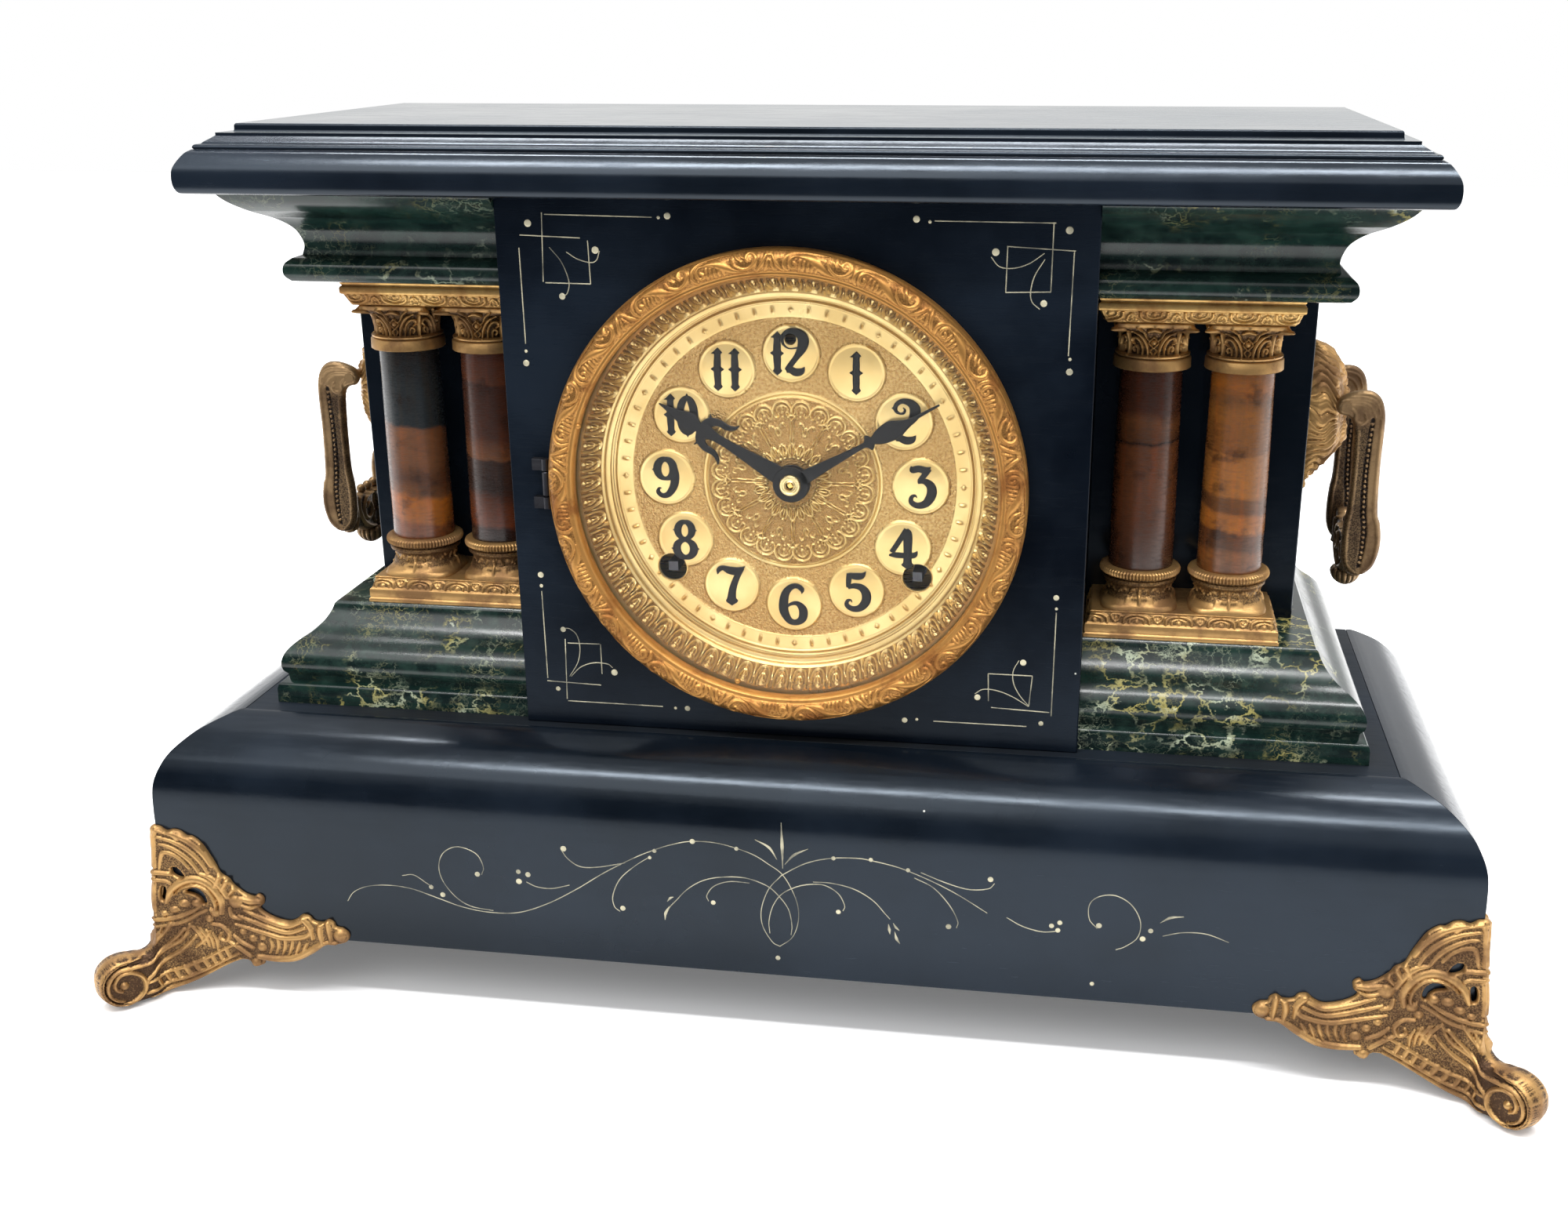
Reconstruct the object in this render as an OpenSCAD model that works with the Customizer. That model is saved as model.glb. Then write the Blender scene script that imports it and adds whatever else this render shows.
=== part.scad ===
// Mantel clock: ebonised case with green moulded pedestals and frieze, paired columns,
// gilt mounts, hinged bezel, eight-day time and strike movement with pendulum and gong.
// Millimetres. x to the viewer's right, front faces -y, z up, feet on z = 0.

/* [Case] */
// overall width of the base moulding
base_w = 425; // [400:5:450]
// overall depth of the base moulding
base_d = 159.2; // [150:0.4:176]
// clearance under the base moulding, the height of the toes
foot_h = 23.4; // [20:0.2:30]
// height of the base moulding
base_h = 71.9; // [66:0.1:80]
// height of the green pedestal moulding
ped_h = 31.7; // [28:0.1:38]
// height of the open wall between pedestal and frieze
wall_h = 109.5; // [104:0.5:120]
// height of the green frieze moulding
frieze_h = 29; // [26:0.5:34]
// height of the top board
top_h = 20; // [17:0.5:24]
// width of the projecting middle panel
panel_w = 180.4; // [172:0.4:186]
// thickness of the case boards
board_t = 10; // [8:0.5:12]

/* [Columns] */
// distance between the columns of one pair
col_gap = 28; // [26:0.5:30]
// radius of a shaft at its middle
shaft_r = 9.9; // [9:0.1:10.4]
// height of a column base
col_base_h = 13; // [11:0.5:15]
// height of a capital
capital_h = 15; // [13:0.5:18]
// height of the gilt plates above and below the columns
plate_h = 8.8; // [7:0.2:10]

/* [Dial] */
// shift of dial and movement from the middle of the case
dial_x = -2.2; // [-3:0.2:3]
// outer radius of the bezel
bezel_r = 74.5; // [73:0.5:77]
// depth of the dial below the panel face
dial_sink = 12; // [10:0.2:13]
// length of the minute hand
minute_len = 53.3; // [48:0.5:55]
// length of the hour hand
hour_len = 48; // [38:0.5:50]

/* [Movement] */
// distance between the two movement plates
plates_gap = 31.2; // [31:0.1:34]
// thickness of a movement plate
plate_t = 1.8; // [1.4:0.1:2.4]
// swinging length of the pendulum
pend_len = 115.6; // [108:0.4:118]
// radius of the pendulum bob
bob_r = 12; // [9:0.5:13]
// outer radius of the coiled gong
gong_r = 30; // [26:0.5:32]

/* [Mounts] */
// height of the gilt corner brackets above the ground
bracket_h = 60; // [54:0.5:62]
// free length of a side handle below its pivot
handle_drop = 68; // [60:0.5:72]
// radius of the handle pivot bar
bar_r = 1.7; // [1.4:0.1:2]
// play around every pivot
play = 0.3; // [0.25:0.05:0.35]

/* [Hidden] */
xb = base_w / 2;
yb = base_d / 2;
z0 = foot_h;
z1 = z0 + base_h;
z2 = z1 + ped_h;
z3 = z2 + wall_h;
z4 = z3 + frieze_h;
z5 = z4 + top_h;
xp = xb - 32.5;
xw = xb - 54.5;
xf = xb - 35.5;
xt = xb - 27.2;
yp = yb - 31.2;
yf = yb - 23.9;
yt = yb - 14.5;
ypan = yb - 27.6;
ywing = yb - 76.6;
pw = panel_w / 2;
rail_t = 24;
deck_t = 10;
wing_t = 8;
plate_y = yb - 48.1;
plate_d = plate_y - ywing;
col_y = (plate_y + ywing) / 2;
col_mid = (pw + xw - 5) / 2 - 0.2;
zd = z1 + 82.1;
ydial = ypan - dial_sink;
col_z = z2 + plate_h;
shaft_z = col_z + col_base_h;
cap_z = z3 - plate_h - capital_h;
mask_y = 36;
bar_x = xw + 13.5;
bar_z = zd + 17.6;
back_y = yb - 15.6;
yfp = -ydial + 14;
yin = yfp + plate_t;
ybp = yin + plates_gap;
yend = ybp + plate_t;
hole_r = bezel_r - 8;

// movement pivots, measured from the dial centre as [x, z]
GT = [39.7, -29.8];
ST = [27.94, 1.84];
TT = [8.95, 24.6];
EW = [0, 43.13];
GS = [-39.7, -29.8];
SS = GS + 33.75 * [cos(76), sin(76)];
CS = SS + 27.2 * [cos(80), sin(80)];
FL = CS + 16.667 * [cos(150), sin(150)];
MW = 12 * [cos(-45), sin(-45)];
VG = [0, 57.6];
HM = [-26, -60.5];
posts = [[-54, -60.5], [54, -60.5], [-54, 52], [54, 52]];
arbors = [[ST, 1], [TT, 0.8], [EW, 0.8], [SS, 1], [CS, 1], [FL, 0.8], [[0, 0], 1.2], [VG, 0.8],
          [HM, 1.2], [GT, 2.2], [GS, 2.2]];

EBONY = [0.07, 0.07, 0.08];
GREEN = [0.12, 0.2, 0.16];
GILT = [0.8, 0.62, 0.3];
BRASS = [0.82, 0.68, 0.36];
STEEL = [0.55, 0.57, 0.6];

// moulding outlines as [inset from the outermost face, share of the height]
base_prof = [[0, 0], [0, .584], [.3, .681], [.9, .744], [2.4, .801], [5, .862], [9, .915],
             [13.3, .954], [19.3, .9875], [22.3, 1]];
ped_prof = [[0, 0], [.4, .211], [3.2, .233], [3.2, .29], [1.8, .36], [1.9, .46], [3.4, .555],
            [6.2, .637], [10.4, .713], [13.6, .808], [15.6, .902], [17, .978], [17, 1]];
frieze_prof = [[16.5, 0], [14, .055], [13, .138], [13.2, .207], [14.8, .269], [17.6, .317],
               [18.2, .393], [17.8, .483], [16.2, .586], [12.6, .697], [7, .786], [2.8, .883],
               [.4, .966], [0, 1]];
top_prof = [[7.6, 0], [1.7, .03], [.2, .13], [0, .3], [1, .43], [2.3, .53], [5.2, .69],
            [8.4, .81], [10.2, .83], [10.2, .88], [14.4, .89], [14.4, 1]];

// a block with its moulding worked on the front and both sides, back left flat
module moulded(prof, hx, fy, h, z) {
  n = len(prof);
  intersection() {
    translate([0, yb, z]) rotate([90, 0, 0]) linear_extrude(yb + fy) polygon(concat(
      [for (p = prof) [hx - p[0], p[1] * h]],
      [for (i = [n - 1:-1:0]) [prof[i][0] - hx, prof[i][1] * h]]));
    translate([-hx, 0, z]) rotate([90, 0, 90]) linear_extrude(2 * hx) polygon(concat(
      [for (p = prof) [p[0] - fy, p[1] * h]], [[yb, h], [yb, 0]]));
  }
}

module box(a, b) { translate(a) cube(b - a); }
module side(s) { mirror([s < 0 ? 1 : 0, 0, 0]) children(); }
module from_y(y0, y1) { translate([0, y1, 0]) rotate([90, 0, 0]) linear_extrude(y1 - y0) children(); }
module rod(y0, y1, r) { translate([0, y1, 0]) rotate([90, 0, 0]) cylinder(h = y1 - y0, r = r, $fn = 32); }
module at(p) { translate([dial_x + p[0], 0, zd + p[1]]) children(); }
module turned(prof) { rotate([90, 0, 0]) rotate_extrude($fn = 96) polygon(prof); }

// case
module base_rail(k) {
  color(EBONY) intersection() {
    moulded(base_prof, xb, yb, base_h, z0);
    if (k == 0)
      translate([0, 0, z0 - 1]) linear_extrude(base_h + 2) polygon([[-xb - 1, -yb - 1],
        [xb + 1, -yb - 1], [xb - rail_t, -yb + rail_t], [-xb + rail_t, -yb + rail_t]]);
    else
      side(k) translate([0, 0, z0 - 1]) linear_extrude(base_h + 2) polygon([[xb + 1, -yb - 1],
        [xb + 1, yb], [xb - rail_t, yb], [xb - rail_t, -yb + rail_t]]);
  }
}
module base_back() {
  color(EBONY) box([-xb + rail_t, yb - 14, z0], [xb - rail_t, yb, z1 - deck_t]);
}
module base_deck() {
  w = bob_r + pend_len * sin(4) + 3;
  color(EBONY) difference() {
    box([-xb + rail_t, -yb + rail_t, z1 - deck_t], [xb - rail_t, yb, z1]);
    box([dial_x - w, yend - 1.6, z1 - deck_t - 1], [dial_x + w, yend + 11.6, z1 + 1]);
  }
}
module wrap(s, prof, hx, fy, h, z) {
  color(GREEN) intersection() {
    moulded(prof, hx, fy, h, z);
    side(s) difference() {
      box([pw, -yb - 1, z - 1], [xb, yb, z + h + 1]);
      box([pw - 1, -ywing, z - 2], [xw, yb + 1, z + h + 2]);
    }
  }
}
module wing(s) {
  color(EBONY) side(s) box([pw, -ywing, z1], [xw, -ywing + wing_t, z4]);
}
module side_board(s) {
  color(EBONY) side(s) box([xw - board_t, -ywing + wing_t, z1], [xw, yb, z4]);
}
module top_board() { color(EBONY) moulded(top_prof, xt, yt, top_h, z4); }
module front_panel() {
  color(EBONY) difference() {
    box([-pw, -ypan, z1], [pw, -ypan + board_t, z4]);
    at([0, 0]) rod(-ypan - 1, -ypan + board_t + 1, hole_r);
  }
}
module cheeks() {
  color(EBONY) for (s = [-1, 1]) side(s)
    box([pw - board_t, -ypan + board_t, z1], [pw, -ywing + wing_t, z4]);
}
module back_board() {
  color(EBONY) difference() {
    box([-xw + board_t, back_y, z1], [xw - board_t, back_y + board_t, z4]);
    at([0, 0]) rod(back_y - 1, back_y + board_t + 1, 58);
  }
}
module back_door() {
  y = back_y + board_t;
  color(BRASS) difference() {
    union() {
      at([0, 0]) rod(y + 0.1, y + 2.5, 62.5);
      at([65.3, 0]) translate([0, y + 1.7, -5]) cylinder(h = 10, r = 1.5, $fn = 32);
      at([0, 0]) box([58, y + 0.1, -5], [65, y + 2.5, 5]);
      at([-40, 0]) rod(y + 2.4, y + 3.4, 4);
    }
    at([65.3, 0]) translate([0, y + 1.7, -6]) cylinder(h = 12, r = 0.6 + play, $fn = 32);
  }
}
module door_latch() {
  y = back_y + board_t;
  color(BRASS) at([-69, 0]) union() {
    rod(y + 0.1, y + 2.9, 2.2);
    box([-2.5, y + 2.8, -6], [2.5, y + 4.2, 9.5]);
    rod(y + 4.1, y + 5, 2);
  }
}
module knuckles(x, y, hz, leaf) {
  translate([x, y, 0]) {
    cylinder(h = 2 * hz + 8, r = 0.6, center = true, $fn = 32);
    for (s = [-1, 1]) translate([0, 0, s * (hz + 2.15)]) {
      cylinder(h = 3.7, r = 1.3, center = true, $fn = 32);
      translate([leaf / 2, 0, 0]) cube([abs(leaf), 1, 3.7], center = true);
    }
  }
}
module hardware() {
  y = back_y + board_t;
  color(STEEL) at([0, 0]) {
    knuckles(-bezel_r - 1.6, -ypan - 1.75, 4, -4.2);
    for (s = [-1, 1])
      box([-bezel_r - 5.8, -ypan - 1.3, s * 6.15 - 1.85], [-bezel_r - 2.6, -ypan, s * 6.15 + 1.85]);
    knuckles(65.3, y + 1.7, 5, 5);
    for (s = [-1, 1]) box([67, y, s * 7.15 - 1.85], [70.3, y + 1.3, s * 7.15 + 1.85]);
  }
}

// gilt mounts
bracket = [[0, bracket_h], [9, bracket_h], [14, bracket_h - 4], [18, bracket_h - 9.5],
  [20.5, bracket_h - 15.5], [25, bracket_h - 19], [30, bracket_h - 22.5],
  [35.5, bracket_h - 22.5], [35, bracket_h - 26.5], [42, bracket_h - 29.5],
  [49, bracket_h - 30], [52, bracket_h - 28.5], [58, bracket_h - 29], [62, bracket_h - 32],
  [64, bracket_h - 35.5], [62, foot_h - 1.5], [52, foot_h + 1], [42, foot_h - 4], [36, foot_h - 6.5], [28, foot_h - 3],
  [18, foot_h - 5], [10, foot_h - 12], [3, foot_h - 19], [0, foot_h - 19]];
corner = [[-12, 58], [1.2, 58], [2, 40], [3.4, 25], [-12, 25]];
toe = [[-12, 26], [3.2, 26], [4.6, 21], [8, 18.6], [13, 18.2],
  [18, 18.4], [22.5, 17.4], [25.2, 13.6], [25.4, 8.6], [23, 3.2], [18, 0], [8, 0], [5, 3],
  [1.3, 8], [-4, 14], [-12, 18]];
module foot(sx, sy) {
  q = foot_h / 23.4;
  color(GILT) scale([sx, sy, 1]) translate([xb, yb, 0]) {
    for (k = [0, 1]) mirror([k, -k, 0]) difference() {
      translate([0, 1.6, 0]) rotate([90, 0, 0]) linear_extrude(1.6)
        polygon([for (p = bracket) [p[0] == 0 ? 1.6 : -p[0], p[1]]]);
      for (h = [[8, 21, 1.9], [11.5, 13, 2.8], [44, 4, 1.5]]) translate([-h[0], 2, foot_h + h[1]])
        rotate([90, 0, 0]) cylinder(h = 3, r = h[2], $fn = 24);
    }
    difference() {
      for (part = [[corner, 3.2], [toe, 10]]) rotate([0, 0, 45]) translate([0, part[1] / 2, 0])
        rotate([90, 0, 0]) linear_extrude(part[1]) polygon([for (p = part[0]) [p[0], p[1] * q]]);
      box([-30, -30, foot_h], [0, 0, 70]);
    }
  }
}
module plates(z, flip) {
  color(GILT) for (s = [-1, 1]) side(s) intersection() {
    box([pw + 0.1, -plate_y, z], [xw - 6.5, -ywing - 0.05, z + plate_h]);
    hull() for (k = [0, 1]) {
      t = flip ? k : 1 - k;
      box([pw - 5, -plate_y + 2.6 * (1 - t), z + k * (plate_h - 2.5)],
          [xw - 6.5 - 2.6 * (1 - t), -ywing, z + k * (plate_h - 2.5) + 2.5]);
    }
  }
}
module columns() {
  for (s = [-1, 1], k = [-0.5, 0.5])
    translate([s * (col_mid + k * col_gap), -col_y, 0]) children();
}
module column_shafts() {
  h = cap_z - shaft_z;
  color([0.45, 0.28, 0.16]) columns() translate([0, 0, shaft_z])
    cylinder(h = h, r1 = shaft_r + 0.3, r2 = shaft_r - 0.3, $fn = 64);
}
module capitals() {
  q = capital_h / 15;
  color(GILT) columns() translate([0, 0, cap_z]) {
    rotate_extrude($fn = 64) polygon([[0, 0], [shaft_r + 1, 0], [shaft_r + 1.4, 4 * q],
      [shaft_r + 2, 4.6 * q], [shaft_r + 1.9, 5.6 * q], [shaft_r + 0.4, 6 * q],
      [shaft_r + 0.6, 10 * q], [shaft_r + 1.8, 13 * q], [0, 13 * q]]);
    translate([0, 0, 14 * q]) cube([24, 24, 2 * q], center = true);
    for (a = [45:90:315]) rotate(a) translate([shaft_r + 2.6, 0, 11.6 * q]) rotate([90, 0, 0])
      cylinder(h = 3, r = 2, center = true, $fn = 24);
  }
}
module column_bases() {
  q = col_base_h / 13;
  color(GILT) columns() translate([0, 0, col_z]) {
    translate([0, 0, q]) cube([24.6, 24.6, 2 * q], center = true);
    rotate_extrude($fn = 64) polygon([[0, 2 * q], [12.2, 2 * q], [12.7, 3.5 * q], [12.2, 5 * q],
      [10.6, 5.6 * q], [10.4, 7.4 * q], [11.6, 8.2 * q], [12.2, 9.6 * q], [11.8, 11 * q],
      [10.9, 11.6 * q], [11.3, 12.4 * q], [11.1, 13 * q], [0, 13 * q]]);
  }
}
module masks() {
  color(GILT) for (s = [-1, 1]) side(s) translate([xw, mask_y, bar_z]) difference() {
    union() {
      translate([0, 0, -2]) rotate([0, 90, 0]) rotate_extrude($fn = 64)
        polygon([[0, 0], [20, 0], [19.4, 4], [17.2, 8], [13.6, 12], [9, 15], [0, 16.5]]);
      translate([0, 0, -22]) rotate([0, 90, 0]) rotate_extrude($fn = 48)
        polygon([[0, 0], [13.5, 0], [12.6, 5], [9.4, 10], [5, 13.5], [0, 14.5]]);
      translate([0, 0, -14]) rotate([0, 90, 0]) cylinder(h = 17.6, r = 7.5, $fn = 48);
    }
    translate([bar_x - xw, 0, 0]) rod(-30, 30, bar_r + play);
    box([8.5, -9.5, -0.8], [30, 9.5, 12]);
  }
}
module handle(s) {
  q = handle_drop / 68;
  color(GILT) side(s) translate([bar_x, mask_y, bar_z]) {
    rod(-24, 24, bar_r);
    for (k = [-1, 1]) translate([0, 21.5 * k, 0]) from_y(-2.5, 2.5) polygon([[-2.4, 1.2], [-2.4, -1.6],
      [1, -2.6], [3.6, -7], [3.4, -35 * q], [2.6, -42 * q], [2.6, -54 * q], [5, -60.5 * q],
      [11, -60.5 * q], [13.4, -54 * q], [13.4, -46 * q], [12, -36 * q], [12, -6], [10.4, 1],
      [5, 3.8], [0, 2.6]]);
    box([4.5, -22, -60 * q], [11.5, 22, -49 * q]);
    translate([8, 0, -55 * q]) rotate([0, 90, 0]) cylinder(h = 8, r = 7, center = true, $fn = 32);
    translate([8, 0, -64 * q]) cylinder(h = 8 * q, r1 = 1.6, r2 = 3.6, center = true, $fn = 24);
  }
}

// dial
module bezel() {
  k = bezel_r;
  color(GILT) at([0, 0]) translate([0, -ypan, 0]) {
    turned([[k - 5.1, .9], [k, .9], [k, 3.2], [k - .7, 5.6], [k - 2.2, 7.4], [k - 4, 8],
      [k - 5.4, 7.6], [k - 6.4, 6.4], [k - 7.2, 6.4], [k - 8.1, 5.6], [k - 8.3, 4.6],
      [k - 5.1, 4.6]]);
    turned([[k - 7.9, 1.3], [k - 5.2, 1.3], [k - 5.2, 2.7], [k - 7.9, 2.7]]);
    difference() {
      translate([-k - 1.6, -1.75, 0]) union() {
        cylinder(h = 8, r = 1.3, center = true, $fn = 32);
        box([0, -1.3, -4], [3, 0, 4]);
      }
      translate([-k - 1.6, -1.75, 0]) cylinder(h = 9, r = 0.6 + play, center = true, $fn = 32);
      translate([-k + 0.4, -20, -10]) cube(20);
    }
  }
}
module glass() { color([0.8, 0.9, 0.92, 0.4]) at([0, 0]) rod(-ypan - 4.55, -ypan - 2.75, bezel_r - 5.3); }
module dial() {
  h = -dial_sink;
  color(BRASS) at([0, 0]) difference() {
    translate([0, -ypan, 0]) turned([[3.4, h], [hole_r - 8.5, h], [hole_r - 1.2, .5],
      [hole_r + 2, .5], [hole_r + 2, 0], [hole_r - 0.5, 0], [hole_r - 7.9, h - .8], [3.4, h - .8]]);
    for (p = [GT, GS]) translate([p[0], 0, p[1]]) rod(-ydial - 2, -ydial + 2, 4.6);
    translate([0, 0, 45.2]) rod(-ydial - 2, -ydial + 2, 2.2);
  }
}
module dial_centre() {
  color(BRASS) at([0, 0]) translate([0, -ydial, 0]) turned([[3.4, 0], [27.4, 0], [27.2, .5],
    [25.5, .7], [24.6, .3], [6.5, .3], [5.5, 1], [3.4, 1]]);
}
module hand(len, hub, arm) {
  difference() {
    circle(r = hub, $fn = 48);
    children();
  }
  polygon([[-2.2, hub * .8], [-1.1, len * .5], [-arm, len * .55], [-arm * .9, len * .6],
    [-1.3, len * .63], [-2.8, len * .74], [-1, len * .82], [0, len], [1, len * .82],
    [2.8, len * .74], [1.3, len * .63], [arm * .9, len * .6], [arm, len * .55],
    [1.1, len * .5], [2.2, hub * .8]]);
}
hour_a = 300;
minute_a = 60;
module hour_hand() {
  color(EBONY) at([0, 0]) from_y(-ydial - 2.4, -ydial - 1.7) rotate(-hour_a)
    hand(hour_len, 5.4, 5) circle(r = 2.62, $fn = 48);
}
module minute_hand() {
  color(EBONY) at([0, 0]) from_y(-ydial - 4.2, -ydial - 3.5) rotate(-minute_a)
    hand(minute_len, 4.6, 2.2) square(1.4, center = true);
}
module hand_nut() {
  color(BRASS) at([0, 0]) difference() {
    rod(-ydial - 6, -ydial - 4.2, 3.3);
    from_y(-ydial - 5.2, -ydial - 4) rotate(-minute_a) square(1.4, center = true);
  }
}

// movement
module wheel(n, rp, y, t, bore, tooth_at) {
  p = 2 * PI * rp / n;
  d = 180 / PI / rp;
  from_y(y, y + t) rotate(tooth_at) difference() {
    polygon([for (i = [0:n - 1], c = [[-.2, -.45], [-.085, .28], [.085, .28], [.2, -.45]])
      (rp + c[1] * p) * [cos(360 * i / n + c[0] * p * d), sin(360 * i / n + c[0] * p * d)]]);
    circle(r = bore, $fn = 32);
    for (a = [0:72:288]) rotate(a) translate([rp * .57, 0]) circle(r = rp * .22, $fn = 24);
  }
}
module lantern(n, rp, pitch, ymid, toward) {
  for (s = [-1, 1]) rod(ymid + s * 1.65 - .35, ymid + s * 1.65 + .35, rp + pitch * .3);
  for (i = [0:n - 1]) rotate([0, -toward - 180 / n - 360 * i / n, 0]) translate([rp, 0, 0])
    rod(ymid - 1.4, ymid + 1.4, pitch * .2);
}
function dir(a, b) = atan2(b[1] - a[1], b[0] - a[0]);
module plate(y, back) {
  color(BRASS) at([0, 0]) difference() {
    box([-60, y, -66], [60, y + plate_t, 63]);
    for (a = arbors) translate([a[0][0], 0, a[0][1]]) rod(y - 1, y + plate_t + 1, a[1] + play);
    if (!back) translate([MW[0], 0, MW[1]]) rod(y - 1, y + plate_t + 1, 0.8 + play);
    for (s = [-1, 1]) translate([s * 44, 0, 22]) rod(y - 1, y + plate_t + 1, 9);
    translate([0, 0, -42]) rod(y - 1, y + plate_t + 1, 8);
  }
}
module pillars() {
  color(STEEL) at([0, 0]) for (p = posts) translate([p[0], 0, p[1]]) {
    rod(yin, ybp, 2.4);
    rod(yend, yend + 2.6, 3);
    rod(-ypan + board_t, yfp, 3.2);
  }
}
module mainsprings() {
  turns = 6.5;
  color(STEEL) for (s = [-1, 1]) at([0, 0]) side(s) translate([GT[0], 0, GT[1]])
    from_y(yin + 8, yin + 26) rotate(dir(GT, posts[1])) {
      a0 = -360 * turns;
      polygon(concat(
        [for (i = [0:turns * 20]) (7.5 + 2.4 * i / 20) * [cos(a0 + 18 * i), sin(a0 + 18 * i)]],
        [for (i = [turns * 20:-1:0]) (6.5 + 2.4 * i / 20) * [cos(a0 + 18 * i), sin(a0 + 18 * i)]]));
      translate([22.4, -0.5]) square([norm(posts[1] - GT) - 2.55 - 22.4, 1]);
    }
}
module arbor(p, r) { rod(yfp + .2, yend - .2, r); }
module great(g, s) {
  color(BRASS) at(g) {
    wheel(72, 30, yin + 4, 1.6, 2.2 + play, dir(g, s));
    rotate([0, 40, 0]) from_y(yin + 1.6, yin + 4.05) polygon([[9.2, -3], [12, -3.4], [13, 4], [11, 6]]);
  }
}
module wind(g) {
  color(STEEL) at(g) union() {
    rod(yfp - 6, yend + 1, 2.2);
    from_y(-ydial + 0.4, yfp - 5.9) square(3.1, center = true);
    from_y(yin + 1.6, yin + 2.8) polygon([for (i = [0:15], c = [[0, 8], [3, 6.6]])
      c[1] * [cos(22.5 * i + c[0]), sin(22.5 * i + c[0])]]);
    rod(yend + .35, yend + 2, 3.6);
  }
}
module second(p, g, next) {
  color(BRASS) at(p) {
    arbor(p, 1);
    lantern(9, 3.75, 2.618, yin + 4.8, dir(p, g));
    wheel(60, 24, yin + 28.2, 1.4, 0.9, dir(p, next));
    rod(yin + 26.8, yin + 28.3, 3);
  }
}
module centre_arbor() {
  color(BRASS) at([0, 0]) {
    rod(-ydial - 3.5, yend - .2, 1.2);
    from_y(-ydial - 5.1, -ydial - 3.4) rotate(-minute_a) square(1.3, center = true);
    lantern(10, 4, 2.513, yin + 28.9, dir([0, 0], ST));
    wheel(88, 24, yin + 12, 1.4, 1.1, dir([0, 0], TT));
    rod(yin + 10.6, yin + 12.1, 3);
    lantern(12, 3, 1.571, yfp - 5, dir([0, 0], MW));
  }
}
module third_time() {
  color(BRASS) at(TT) {
    arbor(TT, 0.8);
    lantern(8, 2.182, 1.714, yin + 12.7, dir(TT, [0, 0]));
    wheel(84, 19, yin + 20, 1.2, 0.7, dir(TT, EW));
    rod(yin + 18.8, yin + 20.1, 2.4);
  }
}
module escape_wheel() {
  n = 40;
  color(BRASS) at(EW) {
    arbor(EW, 0.8);
    lantern(7, 1.583, 1.421, yin + 20.6, dir(EW, TT));
    from_y(yin + 3.5, yin + 4.5) difference() {
      polygon([for (i = [0:n - 1], c = [[0, 12.6], [1.6, 11]])
        c[1] * [cos(360 * i / n + c[0]), sin(360 * i / n + c[0])]]);
      circle(r = 0.7, $fn = 24);
      for (a = [0:72:288]) rotate(a) translate([6.4, 0]) circle(r = 2.7, $fn = 24);
    }
    rod(yin + 4.4, yin + 5.8, 2.2);
  }
}
module cam_strike() {
  color(BRASS) at(CS) {
    arbor(CS, 1);
    lantern(8, 3.2, 2.513, yin + 28.9, dir(CS, SS));
    wheel(54, 15, yin + 16, 1.2, 0.9, dir(CS, FL));
    from_y(yin + 10, yin + 11.4) difference() {
      circle(r = 8, $fn = 64);
      translate([8, 0]) square([5, 3], center = true);
    }
  }
}
module fly() {
  color(BRASS) at(FL) {
    arbor(FL, 0.8);
    lantern(6, 1.667, 1.745, yin + 16.6, dir(FL, CS));
    difference() {
      box([-9, yin + 19, -.4], [9, yin + 26.5, .4]);
      rod(yin + 18, yin + 27, 0.7);
    }
    rod(yin + 19, yin + 26.5, 1.2);
  }
}
module minute_wheel() {
  color(BRASS) at(MW) {
    rod(yfp - 12.2, yfp + 1.4, 0.8);
    wheel(36, 9, yfp - 5.6, 1.2, 0.7, dir(MW, [0, 0]));
    lantern(10, 2.4, 1.508, yfp - 9.4, dir(MW, [0, 0]));
  }
}
module hour_wheel() {
  color(BRASS) at([0, 0]) difference() {
    union() {
      wheel(40, 9.6, yfp - 10, 1.2, 2.2, dir([0, 0], MW));
      rod(-ydial - 2.4, yfp - 7.8, 2.6);
    }
    rod(-ydial - 3, yfp, 1.2 + play + .1);
  }
}
module verge() {
  color(STEEL) at(VG) {
    rod(yfp + .2, yend + 1.6, 0.8);
    from_y(yin + 3.2, yin + 4.8) polygon([[-2.4, 2.4], [2.4, 2.4], [9.6, .2], [14.4, -7.4],
      [13, -8.6], [7.9, -2.4], [2, -.2], [-2, -.2], [-7.9, -2.4], [-13, -8.6], [-14.4, -7.4], [-9.6, .2]]);
    box([-.8, yend + .7, -28], [.8, yend + 1.6, 0]);
    difference() {
      box([-1.6, yend + .7, -29.2], [1.6, yend + 7.6, -27.8]);
      box([-.95, yend + 3.6, -30], [.95, yend + 6.6, -27]);
    }
  }
}
module pendulum() {
  color(BRASS) at(VG) {
    box([-1.6, yend + 5, -12], [1.6, yend + 5.3, 0.9]);
    translate([0, yend + 5.15, -pend_len + bob_r - 1]) cylinder(h = pend_len - bob_r - 10, r = 0.65, $fn = 24);
    translate([0, 0, -pend_len]) union() {
      rod(yend + 1.4, yend + 8.6, bob_r);
      translate([0, yend + 5.15, -bob_r - 3.4]) cylinder(h = 4, r = 2.4, $fn = 32);
    }
  }
}
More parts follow.
